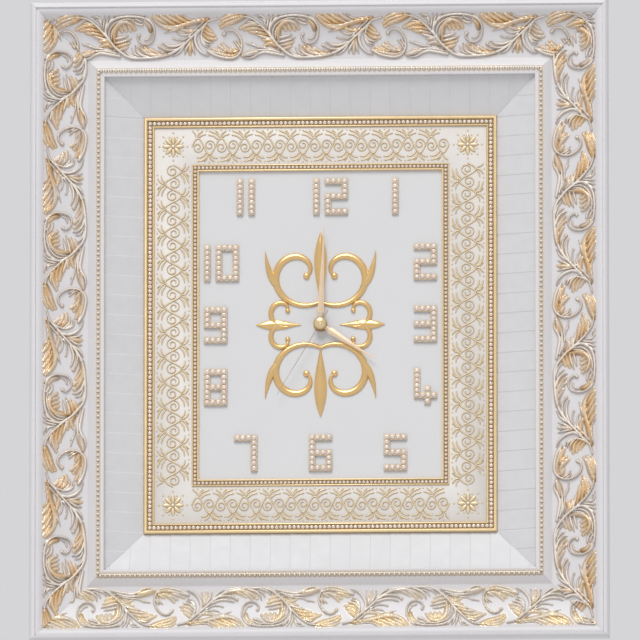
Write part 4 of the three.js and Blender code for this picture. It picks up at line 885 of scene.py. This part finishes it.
def liner_panel(side):
    """One sloped panel, closed at the back. Its first and last foot lie on its top corners."""
    random.seed(side)
    turns, length, other, _ = SIDES[side]
    outer = -other / 2
    full = length / 2 - MITRE_RETREAT
    (top_inset, top_height), (foot_inset, foot_height) = LINER_TOP, LINER_FOOT
    slope = (top_height - foot_height) / (foot_inset - top_inset)
    corner = full - foot_inset
    columns = liner_columns(full - top_inset, corner)
    xs = list(columns)
    points, tops, feet = [], [], []

    def add_point(x, inset, height):
        points.append((x, outer + inset, height))
        return len(points) - 1

    for x, fall in columns.items():
        tops.append(add_point(x, top_inset, top_height - fall))
        foot = min(foot_inset, full - abs(x))
        feet.append(add_point(x, foot, top_height - slope * (foot - top_inset) - fall))
    faces = [(tops[0], tops[1], feet[1])]
    faces += zip(tops[1:-2], tops[2:-1], feet[2:-1], feet[1:-2])
    faces.append((tops[-2], tops[-1], feet[-2]))
    (flange_inset, flange_back), (under_start, under_end) = LINER_FLANGE, LINER_UNDERSIDE
    behind = ((flange_inset, top_height), (flange_inset, flange_back), (under_start, flange_back),
              (under_end, LINER_SOLE), (foot_inset, LINER_SOLE))
    starts = [add_point(inset - full, inset, height) for inset, height in behind]
    ends = [add_point(full - inset, inset, height) for inset, height in behind]
    faces += zip(starts[1:], ends[1:], ends, starts)
    faces.append((*tops[::-1], starts[0], ends[0]))
    left, right = xs.index(-corner), xs.index(corner)
    faces.append((ends[-1], *feet[left:right + 1][::-1], starts[-1]))
    faces.append((*feet[:left + 1], *starts[::-1]))
    faces.append((*ends[::-1], *feet[right:][::-1]))
    tones = []
    for x, next_x in zip(xs, xs[1:]):
        tones.append(STEP_TONE if next_x - x < 3 * STEP_HALF else random.uniform(*STRIP_TONES))
    tones += [1.0] * (len(faces) - len(tones))
    piece = Piece(f"liner_panel_{side}")
    piece.add(turned(points, turns), faces, facets=[(tone_and_glint, 0.0) for tone_and_glint in tones])
    piece.done([LINER_LACQUER], [f"liner_{side}"], sharp=10, welded=True)


for side_name in SIDES:
    liner_panel(side_name)


# Trims with their stones, and the band between them
STONE_SIDES = 8
# A stone's girdle, crown, star and table: shares of its radius and rise, and turn in sides
STONE_LEVELS = ((1.0, 0.0, 0), (0.98, 0.45, 0), (0.82, 0.8, 0.5), (0.48, 1.0, 0))
CUP_SHARES = ((1.0, 0.0), (1.06, 0.0), (1.06, 0.25), (0.98, 0.3))
CUP_DEPTH = 0.1


def stone(piece, x, y, base, radius, rise):
    """A round faceted stone. Each facet is marked with a tone of its own, a painted glint."""
    tint = random.random()
    turn = random.random() * math.pi / 4
    points = []
    for share, up, shift in STONE_LEVELS:
        phase = turn + 2 * math.pi * shift / STONE_SIDES
        points += circle(x, y, radius * share, base + rise * up, STONE_SIDES, phase)
    girdle, crown, star, table = np.arange(4 * STONE_SIDES).reshape(4, STONE_SIDES).tolist()
    faces, facets = [], []

    def facet(corners, low, high):
        faces.append(corners)
        facets.append((random.uniform(low, high), tint))

    # Random painted glints, lighter towards the table and darker on the girdle and underside
    for i in range(STONE_SIDES):
        j = (i + 1) % STONE_SIDES
        facet((girdle[i], girdle[j], crown[j], crown[i]), 0.1, 0.5)
        facet((crown[i], crown[j], star[i]), 0.2, 0.9)
        facet((crown[j], star[j], star[i]), 0.1, 0.8)
        facet((star[i], star[j], table[j]), 0.15, 1.0)
        facet((star[i], table[j], table[i]), 0.15, 1.0)
    facet(table, 0.55, 1.0)
    facet(girdle[::-1], 0.2, 0.2)
    piece.add(points, faces, facets=facets)


def cup(piece, x, y, base, radius, rise):
    """The metal cup that holds a stone, a deep brown that is painted shade between the stones."""
    profile = [(radius * share, base + rise * up - (0 if up else CUP_DEPTH)) for share, up in CUP_SHARES]
    lathe(piece, profile, (x, y), STONE_SIDES, 1)


# Each trim: its width, its beads as [start, width, rise], and its stones' distance in, radius and pitch
TRIMS = {
    "outer": (10.2, ((0, 3.5, 4.8), (8.5, 1.7, 3.1)), (6.0, 2.12, 4.35)),
    "inner": (7.0, ((0, 1.3, 2.6), (5, 2.0, 3.2)), (3.15, 1.7, 3.9)),
}
ON_DIAL = drawn_box("outer_gold_trim")[0][2]
CHANNEL_FLOOR = ON_DIAL + 1.1
# Painted shade in the trims' channels, along their edges and at their beads' feet
CHANNEL_FLANK = 1.0
EDGE_FLANK = 0.8
BEAD_FOOT_FLANK = 0.75
BEAD_ROUND_SHARE = 0.65
STONE_LIFT = 0.3
STONE_RISE = 1.7


def gold_trim(which):
    """A moulding of round beads, with channels beside those that don't end it, and painted shade in the
    channels, at the edges and at the beads' feet.
    """
    total, beads, _ = TRIMS[which]
    section, flank = [(0, ON_DIAL)], [EDGE_FLANK]
    for start, width, rise in beads:
        if start > 0:
            section.append((start, CHANNEL_FLOOR))
            flank.append(CHANNEL_FLANK)
        half, round_rise = width / 2, rise * BEAD_ROUND_SHARE
        foot = ON_DIAL + rise - round_rise
        round_top = arc((start + half, foot), (half, round_rise), 180, 0, 8)
        section += round_top
        flank += [BEAD_FOOT_FLANK * (1 - (height - foot) / round_rise) ** 2 for _, height in round_top]
        if start + width < total:
            section.append((start + width, CHANNEL_FLOOR))
            flank.append(CHANNEL_FLANK)
    section.append((total, ON_DIAL))
    flank.append(EDGE_FLANK)
    name = f"{which}_gold_trim"
    piece = Piece(f"{name}_moulding")
    border(piece, section, *outer_size(name), flank=flank)
    piece.done([TRIM_GOLD], [name], sharp=50)


def chain(which):
    """A row of stones in cups along a trim's channel."""
    random.seed(which)
    _, _, (inset, radius, pitch) = TRIMS[which]
    width, height = outer_size(f"{which}_gold_trim")
    name = f"{which}_rhinestone_chain"
    piece = Piece(f"{name}_stones")
    half_x, half_y = width / 2 - inset, height / 2 - inset
    corners = ((-half_x, -half_y), (half_x, -half_y), (half_x, half_y), (-half_x, half_y))
    for (x0, y0), (x1, y1) in zip(corners, corners[1:] + corners[:1]):
        count = round(math.hypot(x1 - x0, y1 - y0) / pitch)
        for j in range(count):
            place = (x0 + (x1 - x0) * j / count, y0 + (y1 - y0) * j / count, CHANNEL_FLOOR + STONE_LIFT)
            stone(piece, *place, radius, STONE_RISE)
            cup(piece, *place, radius, STONE_RISE)
    piece.done([STONE_GLASS, STONE_CUP_SHADE], [name], sharp=1)


for trim_name in TRIMS:
    gold_trim(trim_name)
for trim_name in TRIMS:
    chain(trim_name)

BAND_WIDTH = 37.4
BAND_BACK = drawn_box("relief_band")[0][2]
BAND_FRONT = drawn_box("relief_band")[1][2]
BAND_CHAMFER = 0.2
VINE_SECTION = ((-1, 0), (1, 0), (0.72, 0.75), (0, 1.05), (-0.72, 0.75))
# Painted shade at the foot of each vine stroke, none on its crest
VINE_FLANKS = (1.0, 1.0, 0.55, 0.0, 0.55)
VINE_STEP = 1.0
VINE_WAVE = 27
VINE_SWING = 8
VINE_STEM = 1.6
TENDRIL_STROKE = 1.3
TENDRIL_STEPS = 26
TENDRIL_DROP = 1.0
# Leaves and buds on the outer side of one crest of the vine: width and points, from the crest
VINE_LEAVES = (
    (2.0, (1.2, 8.3), (5.0, 13.0), (12.2, 15.6)),
    (1.8, (3.4, 7.0), (8.0, 10.6), (13.0, 11.4)),
    (1.8, (0.4, 8.6), (-0.8, 12.4), (-5.0, 15.8)),
    (1.6, (-0.8, 8.6), (-4.0, 11.2), (-8.2, 12.2)),
    (1.3, (2.2, 9.6), (2.8, 12.6), (5.6, 15.9)),
)
LEAF_OVERHANG = 2
VINE_BUDS = ((-8.6, 15.8), (0.2, 16.3))
BUD_RADIUS = 0.85
ROSETTE_RADIUS = 11.0
# Rings of eight small domes about each rosette: distance, radius, and first angle in eighths of a turn
ROSETTE_DOMES = ((10.2, 0.9, 0.5), (14.0, 1.0, 0.0))
# Painted shade at the foot of each dome, none on its top
DOME_FLANKS = (1.0, 0.7, 0.35, 0.1, 0.0)
DOME_RISE_SHARE = 0.9
DOME_END = 83.08


def vine_stroke(piece, points, width, turns, place, taper=True):
    """One stroke of the band's vine, drawn along x about the band's middle line."""
    line = smooth_line(points, VINE_STEP)
    line = turned(np.column_stack([line + place, np.zeros(len(line))]), turns)[:, :2]
    t = np.linspace(0, 1, len(line))
    halves = width / 2 * (np.sin(math.pi * (0.12 + 0.8 * t)) ** 0.6 if taper else np.ones(len(line)))
    ribbon(piece, line, halves, VINE_SECTION, BAND_FRONT, 1, flank=VINE_FLANKS)


def tendril(crest, sign, quarter):
    """A spiral that leaves the vine and winds up in the hollow under its crest."""
    points = []
    for i in range(TENDRIL_STEPS + 1):
        t = i / TENDRIL_STEPS
        angle = math.pi * (1.0 - 2.7 * t)
        radius = quarter * (0.88 - 0.66 * t)
        fall = TENDRIL_DROP + radius * 1.05 * math.sin(angle)
        points.append((crest + radius * math.cos(angle), -sign * fall))
    return points


def dome(piece, x, y, radius):
    profile = arc((0, BAND_FRONT), (radius, radius * DOME_RISE_SHARE), 0, DOME_END, len(DOME_FLANKS) - 1)
    lathe(piece, profile, (x, y), 8, 1, flank=DOME_FLANKS)


def rosette(piece, x, y, radius):
    """A small flower of pointed petals about a bead."""
    for ray_x, ray_y, _ in circle(0, 0, 1, 0, 8):
        line = np.array([x, y]) + np.array([ray_x, ray_y]) * np.linspace(radius * 0.25, radius, 7)[:, None]
        halves = radius * 0.22 * np.sin(math.pi * np.linspace(0.15, 0.95, 7))
        ribbon(piece, line, halves, VINE_SECTION, BAND_FRONT, 1, flank=VINE_FLANKS)
    dome(piece, x, y, radius * 0.2)


def vine_side(piece, width, height, turns):
    """The vine along one side of the band, and the rosette in the corner at its start."""
    middle = (BAND_WIDTH - height) / 2
    reach = width / 2 - BAND_WIDTH
    waves = 2 * round(reach / VINE_WAVE) + 1
    wave = 2 * reach / waves
    place = np.array([0.0, middle])
    xs = np.linspace(-reach, reach, waves * 12 + 1)
    stem = [(x, VINE_SWING * math.sin(2 * math.pi * (x + reach) / wave)) for x in xs]
    vine_stroke(piece, stem, VINE_STEM, turns, place, taper=False)
    for i in range(2 * waves):
        crest = -reach + (i + 0.5) * wave / 2
        sign = 1 if i % 2 == 0 else -1
        vine_stroke(piece, tendril(crest, sign, wave / 4), TENDRIL_STROKE, turns, place)
        for leaf_width, *leaf_points in VINE_LEAVES:
            placed = [(crest + x, sign * y) for x, y in leaf_points]
            if max(abs(x) for x, _ in placed) < reach + LEAF_OVERHANG:
                vine_stroke(piece, placed, leaf_width, turns, place)
        for bud_x, bud_y in VINE_BUDS:
            if abs(crest + bud_x) < reach:
                x, y, _ = turned([(crest + bud_x, middle + sign * bud_y, 0)], turns)[0]
                dome(piece, x, y, BUD_RADIUS)
    x, y, _ = turned([((BAND_WIDTH - width) / 2, middle, 0)], turns)[0]
    rosette(piece, x, y, ROSETTE_RADIUS)
    for distance, radius, first in ROSETTE_DOMES:
        for dome_x, dome_y, _ in circle(x, y, distance, 0, 8, first * math.pi / 4):
            dome(piece, dome_x, dome_y, radius)


def relief_band():
    """The flat band with a made-up vine of small scrolls and leaves."""
    piece = Piece("relief_band_vine")
    low = BAND_FRONT - BAND_CHAMFER
    section = ((0, BAND_BACK), (0, low), (BAND_CHAMFER, BAND_FRONT), (BAND_WIDTH - BAND_CHAMFER, BAND_FRONT),
               (BAND_WIDTH, low), (BAND_WIDTH, BAND_BACK))
    width, height = outer_size("relief_band")
    border(piece, section, width, height)
    for turns in range(4):
        sizes = (height, width) if turns % 2 else (width, height)
        vine_side(piece, *sizes, turns)
    piece.done([BAND_LACQUER, VINE_GOLD], ["relief_band"], sharp=60)


relief_band()


# Numerals: bevelled block figures set with stones
FIGURE_WIDTH = 23.2
FIGURE_HEIGHT = 37.0
FIGURE_STROKE = 6.4
FIGURE_BEVEL = 0.6
FIGURE_SETBACK = 1.6
FIGURE_STONE_PITCH = 4.9
FIGURE_STONE_RADIUS = 2.35
FIGURE_STONE_RISE = 1.3
NEAREST_STONE_SHARE = 0.7
GRAIN_RADIUS = 0.75
GRAIN_TOP_SHARE = 0.6
GRAIN_RISES = (0.2, 0.6)
SINK = 0.1
FLAT_ANGLE = 0.02
# The bars of each digit, by their names in figure_bars
DIGIT_BARS = {
    "0": ("left", "right", "top", "bottom"),
    "1": ("one",),
    "2": ("top", "middle", "bottom", "upper_right", "lower_left"),
    "3": ("right", "top", "middle", "bottom"),
    "4": ("four_bar", "four_left", "four_stem"),
    "5": ("top", "middle", "bottom", "upper_left", "lower_right"),
    "6": ("left", "top", "middle", "bottom", "lower_right"),
    "7": ("right", "top"),
    "8": ("left", "right", "top", "middle", "bottom"),
    "9": ("right", "top", "middle", "bottom", "upper_left"),
}


def figure_bars():
    """The bars that digits are made of: left, right, bottom and top about the digit's middle."""
    x, y = FIGURE_WIDTH / 2, FIGURE_HEIGHT / 2
    stroke, half = FIGURE_STROKE, FIGURE_STROKE / 2
    four = -y + FIGURE_HEIGHT / 3
    stem = x - 2 * stroke + half
    bars = {
        "top": (-x, x, y - stroke, y),
        "middle": (-x, x, -half, half),
        "bottom": (-x, x, -y, -y + stroke),
        "one": (-half, half, -y, y),
        "four_left": (-x, -x + stroke, four - stroke, y),
        "four_bar": (-x, x, four - stroke, four),
        "four_stem": (stem - half, stem + half, -y, four + stroke),
    }
    for side, left in (("left", -x), ("right", x - stroke)):
        bars[side] = (left, left + stroke, -y, y)
        bars[f"upper_{side}"] = (left, left + stroke, -half, y)
        bars[f"lower_{side}"] = (left, left + stroke, -y, half)
    return bars


def figure_body(piece, bars, middle, back, front):
    """The joined bars as one closed block, from the cells that their edges divide it into."""
    xs = sorted({x for bar in bars for x in bar[:2]})
    ys = sorted({y for bar in bars for y in bar[2:]})

    def filled(i, j):
        if not (0 <= i < len(xs) - 1 and 0 <= j < len(ys) - 1):
            return False
        x, y = (xs[i] + xs[i + 1]) / 2, (ys[j] + ys[j + 1]) / 2
        return any(left < x < right and low < y < high for left, right, low, high in bars)

    def face(corners):
        piece.add([(x + middle[0], y + middle[1], h) for x, y, h in corners], [(0, 1, 2, 3)])

    for i, j in [(i, j) for i in range(len(xs)) for j in range(len(ys)) if filled(i, j)]:
        corners = [(xs[i], ys[j]), (xs[i + 1], ys[j]), (xs[i + 1], ys[j + 1]), (xs[i], ys[j + 1])]
        face([(*corner, front) for corner in corners])
        face([(*corner, back) for corner in reversed(corners)])
        for side, beside in enumerate(((i, j - 1), (i + 1, j), (i, j + 1), (i - 1, j))):
            if not filled(*beside):
                start, end = corners[side], corners[(side + 1) % 4]
                face([(*start, back), (*end, back), (*end, front), (*start, front)])


def bevel_top(mesh, front):
    """Welds a figure's block, joins its flat faces and rounds off its front edges."""
    work = bmesh.new()
    work.from_mesh(mesh)
    bmesh.ops.remove_doubles(work, verts=work.verts, dist=WELD_DISTANCE)
    bmesh.ops.dissolve_limit(work, angle_limit=FLAT_ANGLE, verts=work.verts, edges=work.edges)
    edges = []
    for edge in work.edges:
        on_front = all(abs(vert.co.y + front * MM) < WELD_DISTANCE for vert in edge.verts)
        if on_front and edge.calc_face_angle(0) > 1:
            edges.append(edge)
    bmesh.ops.bevel(work, geom=edges, offset=FIGURE_BEVEL * MM, segments=2, affect="EDGES", profile=0.5)
    work.to_mesh(mesh)
    work.free()


def numeral(name, digit):
    """One figure: its block, a row of stones along each bar and small grains beside them."""
    random.seed(name)
    low, high = drawn_box(name)
    middle = np.array([low[0] + high[0], low[1] + high[1]]) / 2
    front = high[2] - FIGURE_SETBACK
    inset = FIGURE_STROKE / 2
    bars = [figure_bars()[bar] for bar in DIGIT_BARS[digit]]
    block = Piece(f"{name}_block")
    figure_body(block, bars, middle, low[2], front)
    bevel_top(block.done([FIGURE_METAL], [name], sharp=30).data, front)
    grain = [(GRAIN_RADIUS, front - SINK), (GRAIN_RADIUS, front + GRAIN_RISES[0]),
             (GRAIN_RADIUS * GRAIN_TOP_SHARE, front + GRAIN_RISES[1])]
    stones = Piece(f"{name}_stones")
    placed = []
    for left, right, bottom, top in bars:
        start = np.array([left + inset, bottom + inset])
        end = np.array([right - inset, top - inset])
        count = max(1, round(np.hypot(*(end - start)) / FIGURE_STONE_PITCH))
        for i in range(count + 1):
            place = start + (end - start) * i / count
            nearest = NEAREST_STONE_SHARE * FIGURE_STONE_PITCH
            if all(np.hypot(*(place - other)) > nearest for other in placed):
                placed.append(place)
                stone(stones, *(place + middle), front - SINK, FIGURE_STONE_RADIUS, FIGURE_STONE_RISE)
        along = (end - start) / count / 2
        edge = np.array([along[1], -along[0]]) / np.hypot(*along) * (inset - GRAIN_RADIUS)
        for i in range(count):
            for sign in (-1, 1):
                lathe(stones, grain, start + along * (2 * i + 1) + sign * edge + middle, 6, 1)
    stones.done([FIGURE_GLASS, FIGURE_METAL], sharp=1)


for number in range(1, 10):
    numeral(f"numeral_{number}", str(number))
for number in ("10", "11", "12"):
    numeral(f"numeral_{number}_tens", number[0])
    numeral(f"numeral_{number}_ones", number[1])


# Ornament at the dial's middle. Its places are shares of its width and height.
ORNAMENT_BACK = drawn_box("ornament_top_spray")[0][2]
ORNAMENT_SIZE = (2 * drawn_box("ornament_right_spray")[1][0], 2 * drawn_box("ornament_top_spray")[1][1])
ORNAMENT_SECTION = (
    (-1, 0), (1, 0), (1, 0.9), (0.7, 1.9), (0.25, 2.5), (0, 2.6), (-0.25, 2.5), (-0.7, 1.9), (-1, 0.9),
)
SCROLL_ROUND_SHARE = 1.453
SCROLL_STEPS = 56
BALL_SHARE = 0.95
BALL_FOOT = 0.6
BALL_RISE = 2.4
BALL_END = 85.94
LEAF_STEPS = 24
LEAF_END_SHARE = 0.08
# How a bud and a leaf swell: where in the wave they start, and its power
BUD_SWELL = (0.0, 1.3)
LEAF_SWELL = (0.05, 0.7)
# Each kind of spray: its bud's places and width, its scrolls' eye, radii, angles and width, and leaves
UPRIGHT = (((0, 0.12), (0, 0.31), (0, 0.5)), 12.5, ((0.155, 0.28), (0.189, 0.035), (-125, 205), 7),
           (((0.32, 0.2), (0.41, 0.26), (0.43, 0.4)),))
SIDEWAYS = (((0.15, 0), (0.325, 0), (0.5, 0)), 10, ((0.29, 0.075), (0.089, 0.024), (-105, 175), 5.2), ())
LEAF_WIDTH = 7
SPRAYS = {
    "ornament_top_spray": (UPRIGHT, ((-1, 1), (1, 1))),
    "ornament_bottom_spray": (UPRIGHT, ((-1, -1), (1, -1))),
    "ornament_left_spray": (SIDEWAYS, ((-1, -1), (-1, 1))),
    "ornament_right_spray": (SIDEWAYS, ((1, -1), (1, 1))),
}


def scroll(piece, eye, radii, angles, width, flip):
    """A spiral stroke from its outer end to the ball at its inner end."""
    t = np.linspace(0, 1, SCROLL_STEPS)
    angle = np.radians(angles[0] + (angles[1] - angles[0]) * t)
    radius = radii[0] + (radii[1] - radii[0]) * t
    x, y = eye[0] + np.cos(angle) * radius * SCROLL_ROUND_SHARE, eye[1] + np.sin(angle) * radius
    line = np.column_stack([x, y]) * ORNAMENT_SIZE * flip
    halves = width / 2 * (0.3 + 0.7 * np.sin(math.pi * (0.1 + 0.9 * t)))
    ribbon(piece, line, halves, ORNAMENT_SECTION, ORNAMENT_BACK)
    ball = BALL_SHARE * width / 2
    dome_top = arc((0, ORNAMENT_BACK + BALL_FOOT), (ball, BALL_RISE), 0, BALL_END, 6)
    lathe(piece, [(ball, ORNAMENT_BACK), *dome_top], line[-1], 24)


def petal(piece, places, width, swell, flip):
    """A stroke from its root by its bend to its tip."""
    root, bend, tip = np.array(places) * ORNAMENT_SIZE * flip
    t = np.linspace(0, 1, LEAF_STEPS)
    line = np.outer((1 - t) ** 2, root) + np.outer(2 * t * (1 - t), bend) + np.outer(t**2, tip)
    wave = np.sin(math.pi * (swell[0] + (1 - swell[0]) * t) ** swell[1])
    halves = width / 2 * (LEAF_END_SHARE + (1 - LEAF_END_SHARE) * wave)
    ribbon(piece, line, halves, ORNAMENT_SECTION, ORNAMENT_BACK)


def spray(name):
    (bud, bud_width, scroll_sizes, leaves), flips = SPRAYS[name]
    piece = Piece(f"{name}_bevelled")
    petal(piece, bud, bud_width, BUD_SWELL, flips[1])
    for flip in flips:
        scroll(piece, *scroll_sizes, flip)
        for places in leaves:
            petal(piece, places, LEAF_WIDTH, LEAF_SWELL, flip)
    piece.done([POLISHED_GOLD], [name], sharp=50, welded=True)


for spray_name in SPRAYS:
    spray(spray_name)


# Hands
BLADE_EDGE = 0.35
BLADE_RIDGE = 1.15
# A blade's neck, as its start, end and half width, its shoulder as its end and half width, and its tip as
# its length and both half widths
BLADE_NECK = (4.2, 11.0, 1.8)
BLADE_SHOULDER = (12.8, 3.2)
BLADE_TIP = (0.7, 0.35, 0.02)
SHOULDER_STEP = 0.001
HUB_RADIUS = 5.6
HUB_THICKNESS = 0.8
HUB_CHAMFER = (0.3, 0.2)
# The second hand: distances and half widths, thickness, share of its width on top, and its boss
NEEDLE_ROWS = ((-15.4, 0.45), (0, 0.45), (84, 0.2))
NEEDLE_THICKNESS = 0.45
NEEDLE_TOP_SHARE = 0.7
NEEDLE_BORE = 0.85
SECOND_HAND_ANGLE = 210.9
BOSS_DISC = (2.6, 0.5)
BOSS_TUBE = (1.5, 2.4)
CAP_BORE = (1.6, 2.3)
CAP_RIM = 0.5
CAP_FOOT = 0.6
CAP_START = 2.86
CAP_BUTTON = (0.6, 0.15)
CAP_EYE = (0.02, 0.1)
HUB_SIDES = 40
CAP_SIDES = 48


def blade(piece, sections, back, degrees):
    """A straight hand. Its sections are [distance from the shaft, ((x, rise), ...)] from foot to tip."""
    cos, sin = math.cos(math.radians(degrees)), math.sin(math.radians(degrees))
    rows = []
    for y, corners in sections:
        rows.append([(x * cos + y * sin, y * cos - x * sin, back + rise) for x, rise in corners])
    loft(piece, rows)


def broad_hand(node, body, length, degrees, bore):
    """A lance hand with a ridge along its middle, a narrow neck and a round hub."""
    back = drawn_box(node)[0][2]
    neck_start, neck_end, neck_half = BLADE_NECK
    shoulder_end, shoulder_half = BLADE_SHOULDER
    tip_length, tip_half, point_half = BLADE_TIP
    halves = (
        (neck_start, neck_half), (neck_end, neck_half), (neck_end + SHOULDER_STEP, shoulder_half),
        (shoulder_end, shoulder_half), (length - tip_length, tip_half), (length, point_half),
    )
    sections = []
    for y, half in halves:
        top = BLADE_EDGE + (BLADE_RIDGE - BLADE_EDGE) * min(1.0, half / neck_half)
        sections.append((y, ((half, 0), (-half, 0), (-half, BLADE_EDGE), (0, top), (half, BLADE_EDGE))))
    piece = Piece(f"{node}_blade")
    blade(piece, sections, back, degrees)
    front = back + HUB_THICKNESS
    hub = [(bore, back), (HUB_RADIUS, back), (HUB_RADIUS, front - HUB_CHAMFER[1]),
           (HUB_RADIUS - HUB_CHAMFER[0], front), (bore, front)]
    lathe(piece, hub, (0, 0), HUB_SIDES, ring=True)
    piece.done([SATIN_GOLD], [node], body, sharp=15, welded=True)


def second_hand():
    """A thin tapered needle with its tail, on a boss."""
    back = drawn_box("second_hand")[0][2]
    sections = []
    for y, half in NEEDLE_ROWS:
        top = half * NEEDLE_TOP_SHARE
        sections.append((y, ((half, 0), (-half, 0), (-top, NEEDLE_THICKNESS), (top, NEEDLE_THICKNESS))))
    piece = Piece("second_hand_needle")
    blade(piece, sections, back, SECOND_HAND_ANGLE)
    (disc, disc_rise), (tube, tube_rise) = BOSS_DISC, BOSS_TUBE
    boss = [(NEEDLE_BORE, back), (disc, back), (disc, back + disc_rise), (tube, back + disc_rise),
            (tube, back + tube_rise), (NEEDLE_BORE, back + tube_rise)]
    lathe(piece, boss, (0, 0), HUB_SIDES, ring=True)
    piece.done([NEEDLE_GOLD], ["second_hand"], "seconds_body", sharp=30, welded=True)


def hub_cap():
    """The domed cap over the hands' hubs, bored from behind."""
    low, high = drawn_box("hub_cap")
    radius, back, front = (high[0] - low[0]) / 2, low[2], high[2]
    bore, bore_depth = CAP_BORE
    section = [(bore, back), (radius, back), (radius, back + CAP_RIM)]
    section += arc((0, back + CAP_FOOT), (radius, front - back - CAP_FOOT), CAP_START, DOME_END, 11)
    section += [(CAP_BUTTON[0], front - CAP_BUTTON[1]), (CAP_EYE[0], front - CAP_EYE[1])]
    section += [(CAP_EYE[0], back + bore_depth), (bore, back + bore_depth)]
    # Painted shade that darkens the cap towards its rim and foot
    flank = [max(0.0, 1 - 1.3 * (height - back) / (front - back)) for _, height in section]
    piece = Piece("hub_cap_dome")
    lathe(piece, section, (0, 0), CAP_SIDES, ring=True, flank=flank)
    piece.done([HUB_GOLD], ["hub_cap"], "seconds_body", sharp=50, welded=True)


broad_hand("hour_hand", "hours_body", length=66, degrees=123.6, bore=2.65)
broad_hand("minute_hand", "minutes_body", length=98, degrees=2.2, bore=1.7)
second_hand()
hub_cap()


# The CAD pieces that show as they are, by their finish
NODE_FINISHES = (
    (DIAL_LACQUER, ("dial_board",)),
    (FIBREBOARD, ("backboard",)),
    (BRASS, ("washer", "hex_nut")),
    (RUBBER, ("rubber_gasket",)),
    (BLACK_PLASTIC, ("case_front", "case_back")),
    (GEAR_PLASTIC, ("seconds_wheel", "intermediate_wheel", "third_wheel", "centre_wheel", "motion_wheel",
                    "hour_wheel", "setting_knob")),
    (COPPER_WIRE, ("motor_coil",)),
    (PRINTED_BOARD, ("circuit_board",)),
    (CELL_SLEEVE, ("battery",)),
    (STEEL, ("stepping_rotor", "motor_stator", "battery_contact_positive", "battery_contact_negative",
             "hanger_plate", "hanger_screw_left", "hanger_screw_right")),
)
for node_finish, node_names in NODE_FINISHES:
    for node_name in node_names:
        for material_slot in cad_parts[node_name].material_slots:
            material_slot.material = node_finish


# Floor, light and camera, in metres
BACKGROUND = (0.665, 0.665, 0.680)
AMBIENT = 0.45
FLOOR_Z = -5.2
FLOOR_SIZE = 80.0
CAMERA_DISTANCE = 24.0
CAMERA_AZIMUTH = 2.4
CAMERA_ELEVATION = -10.0
CAMERA_LENS = 1356.0
CAMERA_SENSOR = 36
CAMERA_REACH = 100
AIM = Vector((-0.0003, -0.03, CENTRE_Z + 0.0040))


def direction(azimuth, elevation):
    """Towards a viewer or lamp: azimuth 0 stands in front of the clock and 90 to its right."""
    azimuth, elevation = math.radians(azimuth), math.radians(elevation)
    level = math.cos(elevation)
    return Vector((math.sin(azimuth) * level, -math.cos(azimuth) * level, math.sin(elevation)))


def add_floor():
    mesh = bpy.data.meshes.new("floor")
    half = FLOOR_SIZE / 2
    corners = ((-half, -half), (half, -half), (half, half), (-half, half))
    mesh.from_pydata([(x, y, FLOOR_Z) for x, y in corners], [], [(0, 1, 2, 3)])
    mesh.materials.append(plain("floor_paint", (0.72, 0.72, 0.735), 0.9, patch=0.01, scale=1))
    floor = bpy.data.objects.new("floor", mesh)
    bpy.context.scene.collection.objects.link(floor)


def add_world():
    """Soft light from all sides. The camera, reflections and glass see a pale background instead."""
    world = bpy.data.worlds.new("studio")
    bpy.context.scene.world = world
    world.use_nodes = True
    nodes, links = world.node_tree.nodes, world.node_tree.links
    lighting = nodes["Background"]
    lighting.inputs["Color"].default_value = (1, 1, 1, 1)
    lighting.inputs["Strength"].default_value = AMBIENT
    shown = nodes.new("ShaderNodeBackground")
    shown.inputs["Color"].default_value = (*BACKGROUND, 1)
    path = nodes.new("ShaderNodeLightPath")
    seen = path.outputs["Is Camera Ray"]
    for ray in ("Is Glossy Ray", "Is Transmission Ray"):
        either = nodes.new("ShaderNodeMath")
        either.operation = "MAXIMUM"
        links.new(seen, either.inputs[0])
        links.new(path.outputs[ray], either.inputs[1])
        seen = either.outputs[0]
    mix = nodes.new("ShaderNodeMixShader")
    links.new(seen, mix.inputs[0])
    links.new(lighting.outputs[0], mix.inputs[1])
    links.new(shown.outputs[0], mix.inputs[2])
    links.new(mix.outputs[0], nodes["World Output"].inputs["Surface"])


def add_facing(name, data, towards):
    """Puts a camera or lamp in the scene so that it looks back along a direction."""
    added = bpy.data.objects.new(name, data)
    added.rotation_euler = towards.to_track_quat("Z", "Y").to_euler()
    bpy.context.scene.collection.objects.link(added)
    return added


def add_lamp(name, azimuth, elevation, level, softness):
    lamp = bpy.data.lights.new(name, "SUN")
    lamp.energy = math.pi * level
    lamp.angle = math.radians(softness)
    add_facing(name, lamp, direction(azimuth, elevation))


def add_camera():
    camera = bpy.data.cameras.new("camera")
    camera.sensor_width = CAMERA_SENSOR
    camera.lens = CAMERA_LENS
    camera.clip_end = CAMERA_REACH
    towards = direction(CAMERA_AZIMUTH, CAMERA_ELEVATION)
    added = add_facing("camera", camera, towards)
    added.location = AIM + towards * CAMERA_DISTANCE
    bpy.context.scene.camera = added


bpy.context.scene.view_settings.view_transform = "Standard"
add_floor()
add_world()
add_lamp("key_light", azimuth=-8, elevation=48, level=0.60, softness=32)
add_lamp("back_light", azimuth=160, elevation=40, level=0.30, softness=30)
add_camera()
